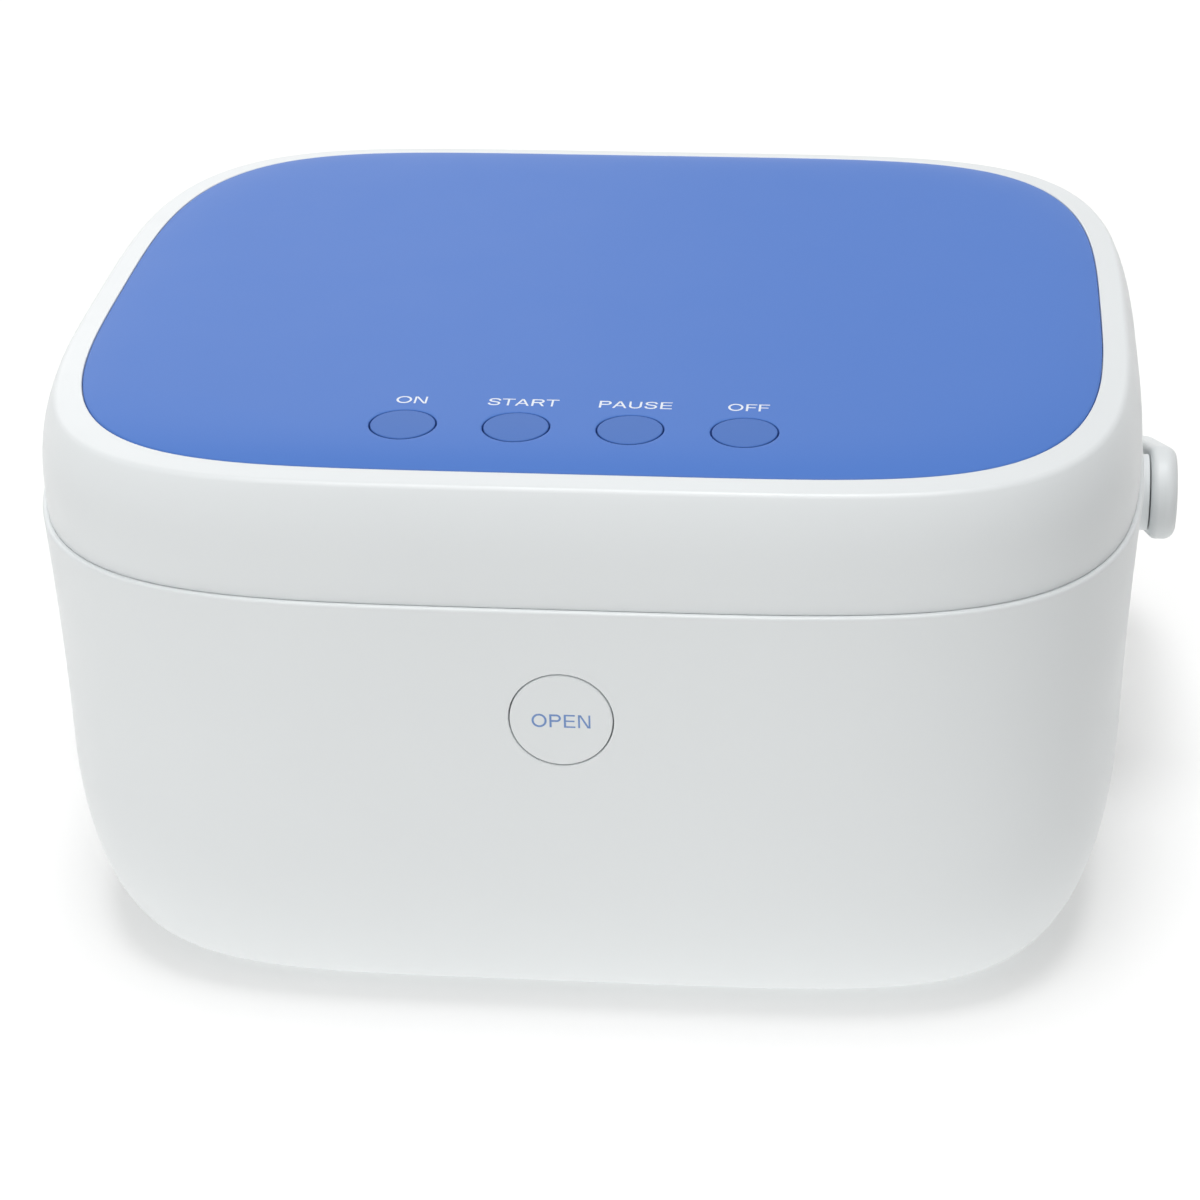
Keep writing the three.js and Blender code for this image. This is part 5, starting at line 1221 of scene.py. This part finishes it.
def word_skin(text, wide, tall):
    """A word of ribbons, fitted to a width and a capital height about its middle, as slabs of ink."""
    skin, at = Skin(), 0.0
    for letter in text:
        width, before, after, ribbons = LETTERS[letter]
        at += before if at else 0
        for ribbon in ribbons:
            rows = [[(x0, y0, -INK), (x1, y1, -INK), (x1, y1, INK), (x0, y0, INK)]
                    for (x0, y0), (x1, y1) in ribbon]
            skin.closed_ends(np.array(rows) + (at, 0, 0))
        at += width + after
    length = at - LETTERS[text[-1]][2]
    return skin.mapped(lambda points: (points - (length / 2, 0.5, 0)) * (wide / length, tall, 1))


def behind_key(x):
    """Lays a word's slabs on the crown behind the key at x."""
    return lambda points: on_crown(points[:, :2] + (x + 0.2, LABEL_Y), -points[:, 2])


def on_button(points):
    """Lays a word's slabs on the push button's cap."""
    across, height = points[:, 0], BUTTON_Z - 0.2 + points[:, 1]
    return on_side("front", across, height, wall_reach("front", across, height, 0) + points[:, 2])


INK, LABEL_Y = 0.01, -81.9
LABEL_TALL, OPEN_TALL = 4.3, 3.85
WIDTHS = {"on": 8.05, "start": 18.4, "pause": 18.95, "off": 10.7, "open": 15.1}
for name, x in KEY_PLACES:
    word = word_skin(name.upper(), WIDTHS[name], LABEL_TALL).mapped(behind_key(x))
    show(f"label_{name}", word, white_print, "lid", "white_shell")
word = word_skin("OPEN", WIDTHS["open"], OPEN_TALL).mapped(on_button)
show("label_open", word, blue_print, "front_button", "blue_panel")


# Floor, light and camera

FLOOR_GLOW, BOUNCE_GLOW, WHITE_GLOW, RIGHT_GLOW = 0.38, 0.76, 1.36, 0.55
SKY_LIGHT, SIDE_SHADE = 0.35, (0.55, 0.25)
FLOOR_REACH, CONTACT_REACH = 6, 0.17


def stage_material():
    """Matt white floor with one glow for the camera and reflections and one for lighting, weaker to the
    right. Near the part the seen glow fades by the ambient occlusion, which leaves a soft contact shadow."""
    finish = bpy.data.materials.new("studio_floor")
    tree = Tree(finish)
    tree.nodes.clear()
    place = tree.node("SeparateXYZ", Vector=tree.node("TexCoord").outputs["Object"]).outputs
    lighting = tree.ranged(place["X"], From_Min=0.1, From_Max=0.5, To_Min=WHITE_GLOW, To_Max=RIGHT_GLOW)
    seen = tree.seen_directly()
    strength = tree.ranged(seen, To_Min=lighting, To_Max=WHITE_GLOW)
    contact = tree.node("AmbientOcclusion", Distance=CONTACT_REACH).outputs["AO"]
    share = tree.ranged(seen, To_Min=BOUNCE_GLOW, To_Max=tree.maths("MULTIPLY", contact, FLOOR_GLOW))
    matt = tree.node("BsdfDiffuse", Color=(0.86, 0.86, 0.86, 1))
    glow = tree.node("Emission", Strength=strength, Color=(1, 0.997, 0.985, 1))
    mix = tree.node("MixShader", Fac=share)
    tree.feed(mix.inputs[1], matt.outputs[0])
    tree.feed(mix.inputs[2], glow.outputs[0])
    tree.node("OutputMaterial", Surface=mix.outputs[0])
    return finish


def studio_floor():
    """A square sheet about the part."""
    mesh = bpy.data.meshes.new("studio_floor")
    corners = [(FLOOR_REACH * x, FLOOR_REACH * y, 0) for x, y in ((-1, -1), (1, -1), (1, 1), (-1, 1))]
    mesh.from_pydata(corners, [], [(0, 1, 2, 3)])
    mesh.materials.append(stage_material())
    return in_scene("studio_floor", mesh)


def studio_sky():
    """White to the camera and reflections. It lights from above and in front more than from both sides, and
    a little less from the right."""
    world = bpy.data.worlds.new("studio")
    bpy.context.scene.world = world
    tree = Tree(world)
    direction = tree.node("SeparateXYZ", Vector=tree.node("TexCoord").outputs["Generated"])
    to_right = direction.outputs["X"]
    both_sides = tree.maths("MULTIPLY", tree.maths("ABSOLUTE", to_right, 0), -SIDE_SHADE[0] * SKY_LIGHT)
    lean = tree.maths("MULTIPLY", to_right, -SIDE_SHADE[1] * SKY_LIGHT)
    lighting = tree.maths("ADD", tree.maths("ADD", both_sides, lean), SKY_LIGHT)
    background = tree.nodes["Background"].inputs
    background["Color"].default_value = (1, 1, 1, 1)
    tree.feed(background["Strength"], tree.ranged(tree.seen_directly(), To_Min=lighting, To_Max=1.0))


def aimed(name, lamp, azimuth, elevation):
    """A lamp that shines towards the part from an azimuth, turned from +X towards +Y, and an elevation in
    degrees, with the direction that it stands in."""
    made = in_scene(name, lamp)
    azimuth, elevation = math.radians(azimuth), math.radians(elevation)
    level = math.cos(elevation)
    towards = Vector((math.cos(azimuth) * level, math.sin(azimuth) * level, math.sin(elevation)))
    made.rotation_euler = towards.to_track_quat("Z", "Y").to_euler()
    return made, towards


def soft_lamp(name, azimuth, elevation, strength, spread):
    """A distant round lamp."""
    lamp = bpy.data.lights.new(name, "SUN")
    lamp.energy, lamp.angle = strength, math.radians(spread)
    aimed(name, lamp, azimuth, elevation)


def sheen_panel(azimuth, elevation, distance, size, power):
    """A lamp panel behind the object that only reflections show."""
    lamp = bpy.data.lights.new("sheen_panel", "AREA")
    lamp.shape, lamp.size, lamp.size_y, lamp.energy = "RECTANGLE", *size, power
    made, towards = aimed("sheen_panel", lamp, azimuth, elevation)
    made.location = distance * towards + Vector((0, 0, 0.15))
    made.visible_camera = made.visible_diffuse = False


def place_camera():
    """The camera from its turn about the upright axis, its pitch, its roll and its place in metres."""
    turn, pitch, roll = 0.1046, 0.4639, -0.0181
    back = Vector((math.sin(turn) * math.cos(pitch), -math.cos(turn) * math.cos(pitch), math.sin(pitch)))
    right = Vector((math.cos(turn), math.sin(turn), 0))
    up = back.cross(right)
    level = math.cos(roll) * right + math.sin(roll) * up
    upright = math.cos(roll) * up - math.sin(roll) * right
    camera = in_scene("camera", bpy.data.cameras.new("camera"))
    camera.data.lens, camera.data.sensor_width = 104.77, 36.0
    camera.data.clip_end = 50
    place = Matrix((level, upright, back)).transposed().to_4x4()
    place.translation = Vector((0.0922, -0.9195, 0.5189))
    camera.matrix_world = place
    bpy.context.scene.camera = camera


floor = studio_floor()
studio_sky()
soft_lamp("overhead_lamp", -90, 88, 1.6, 24)
soft_lamp("front_lamp", -97, 64, 0.74, 40)
sheen_panel(120, 31, 1.6, (1.4, 1.1), 5.2)
place_camera()
bpy.context.scene.view_settings.view_transform = "Standard"
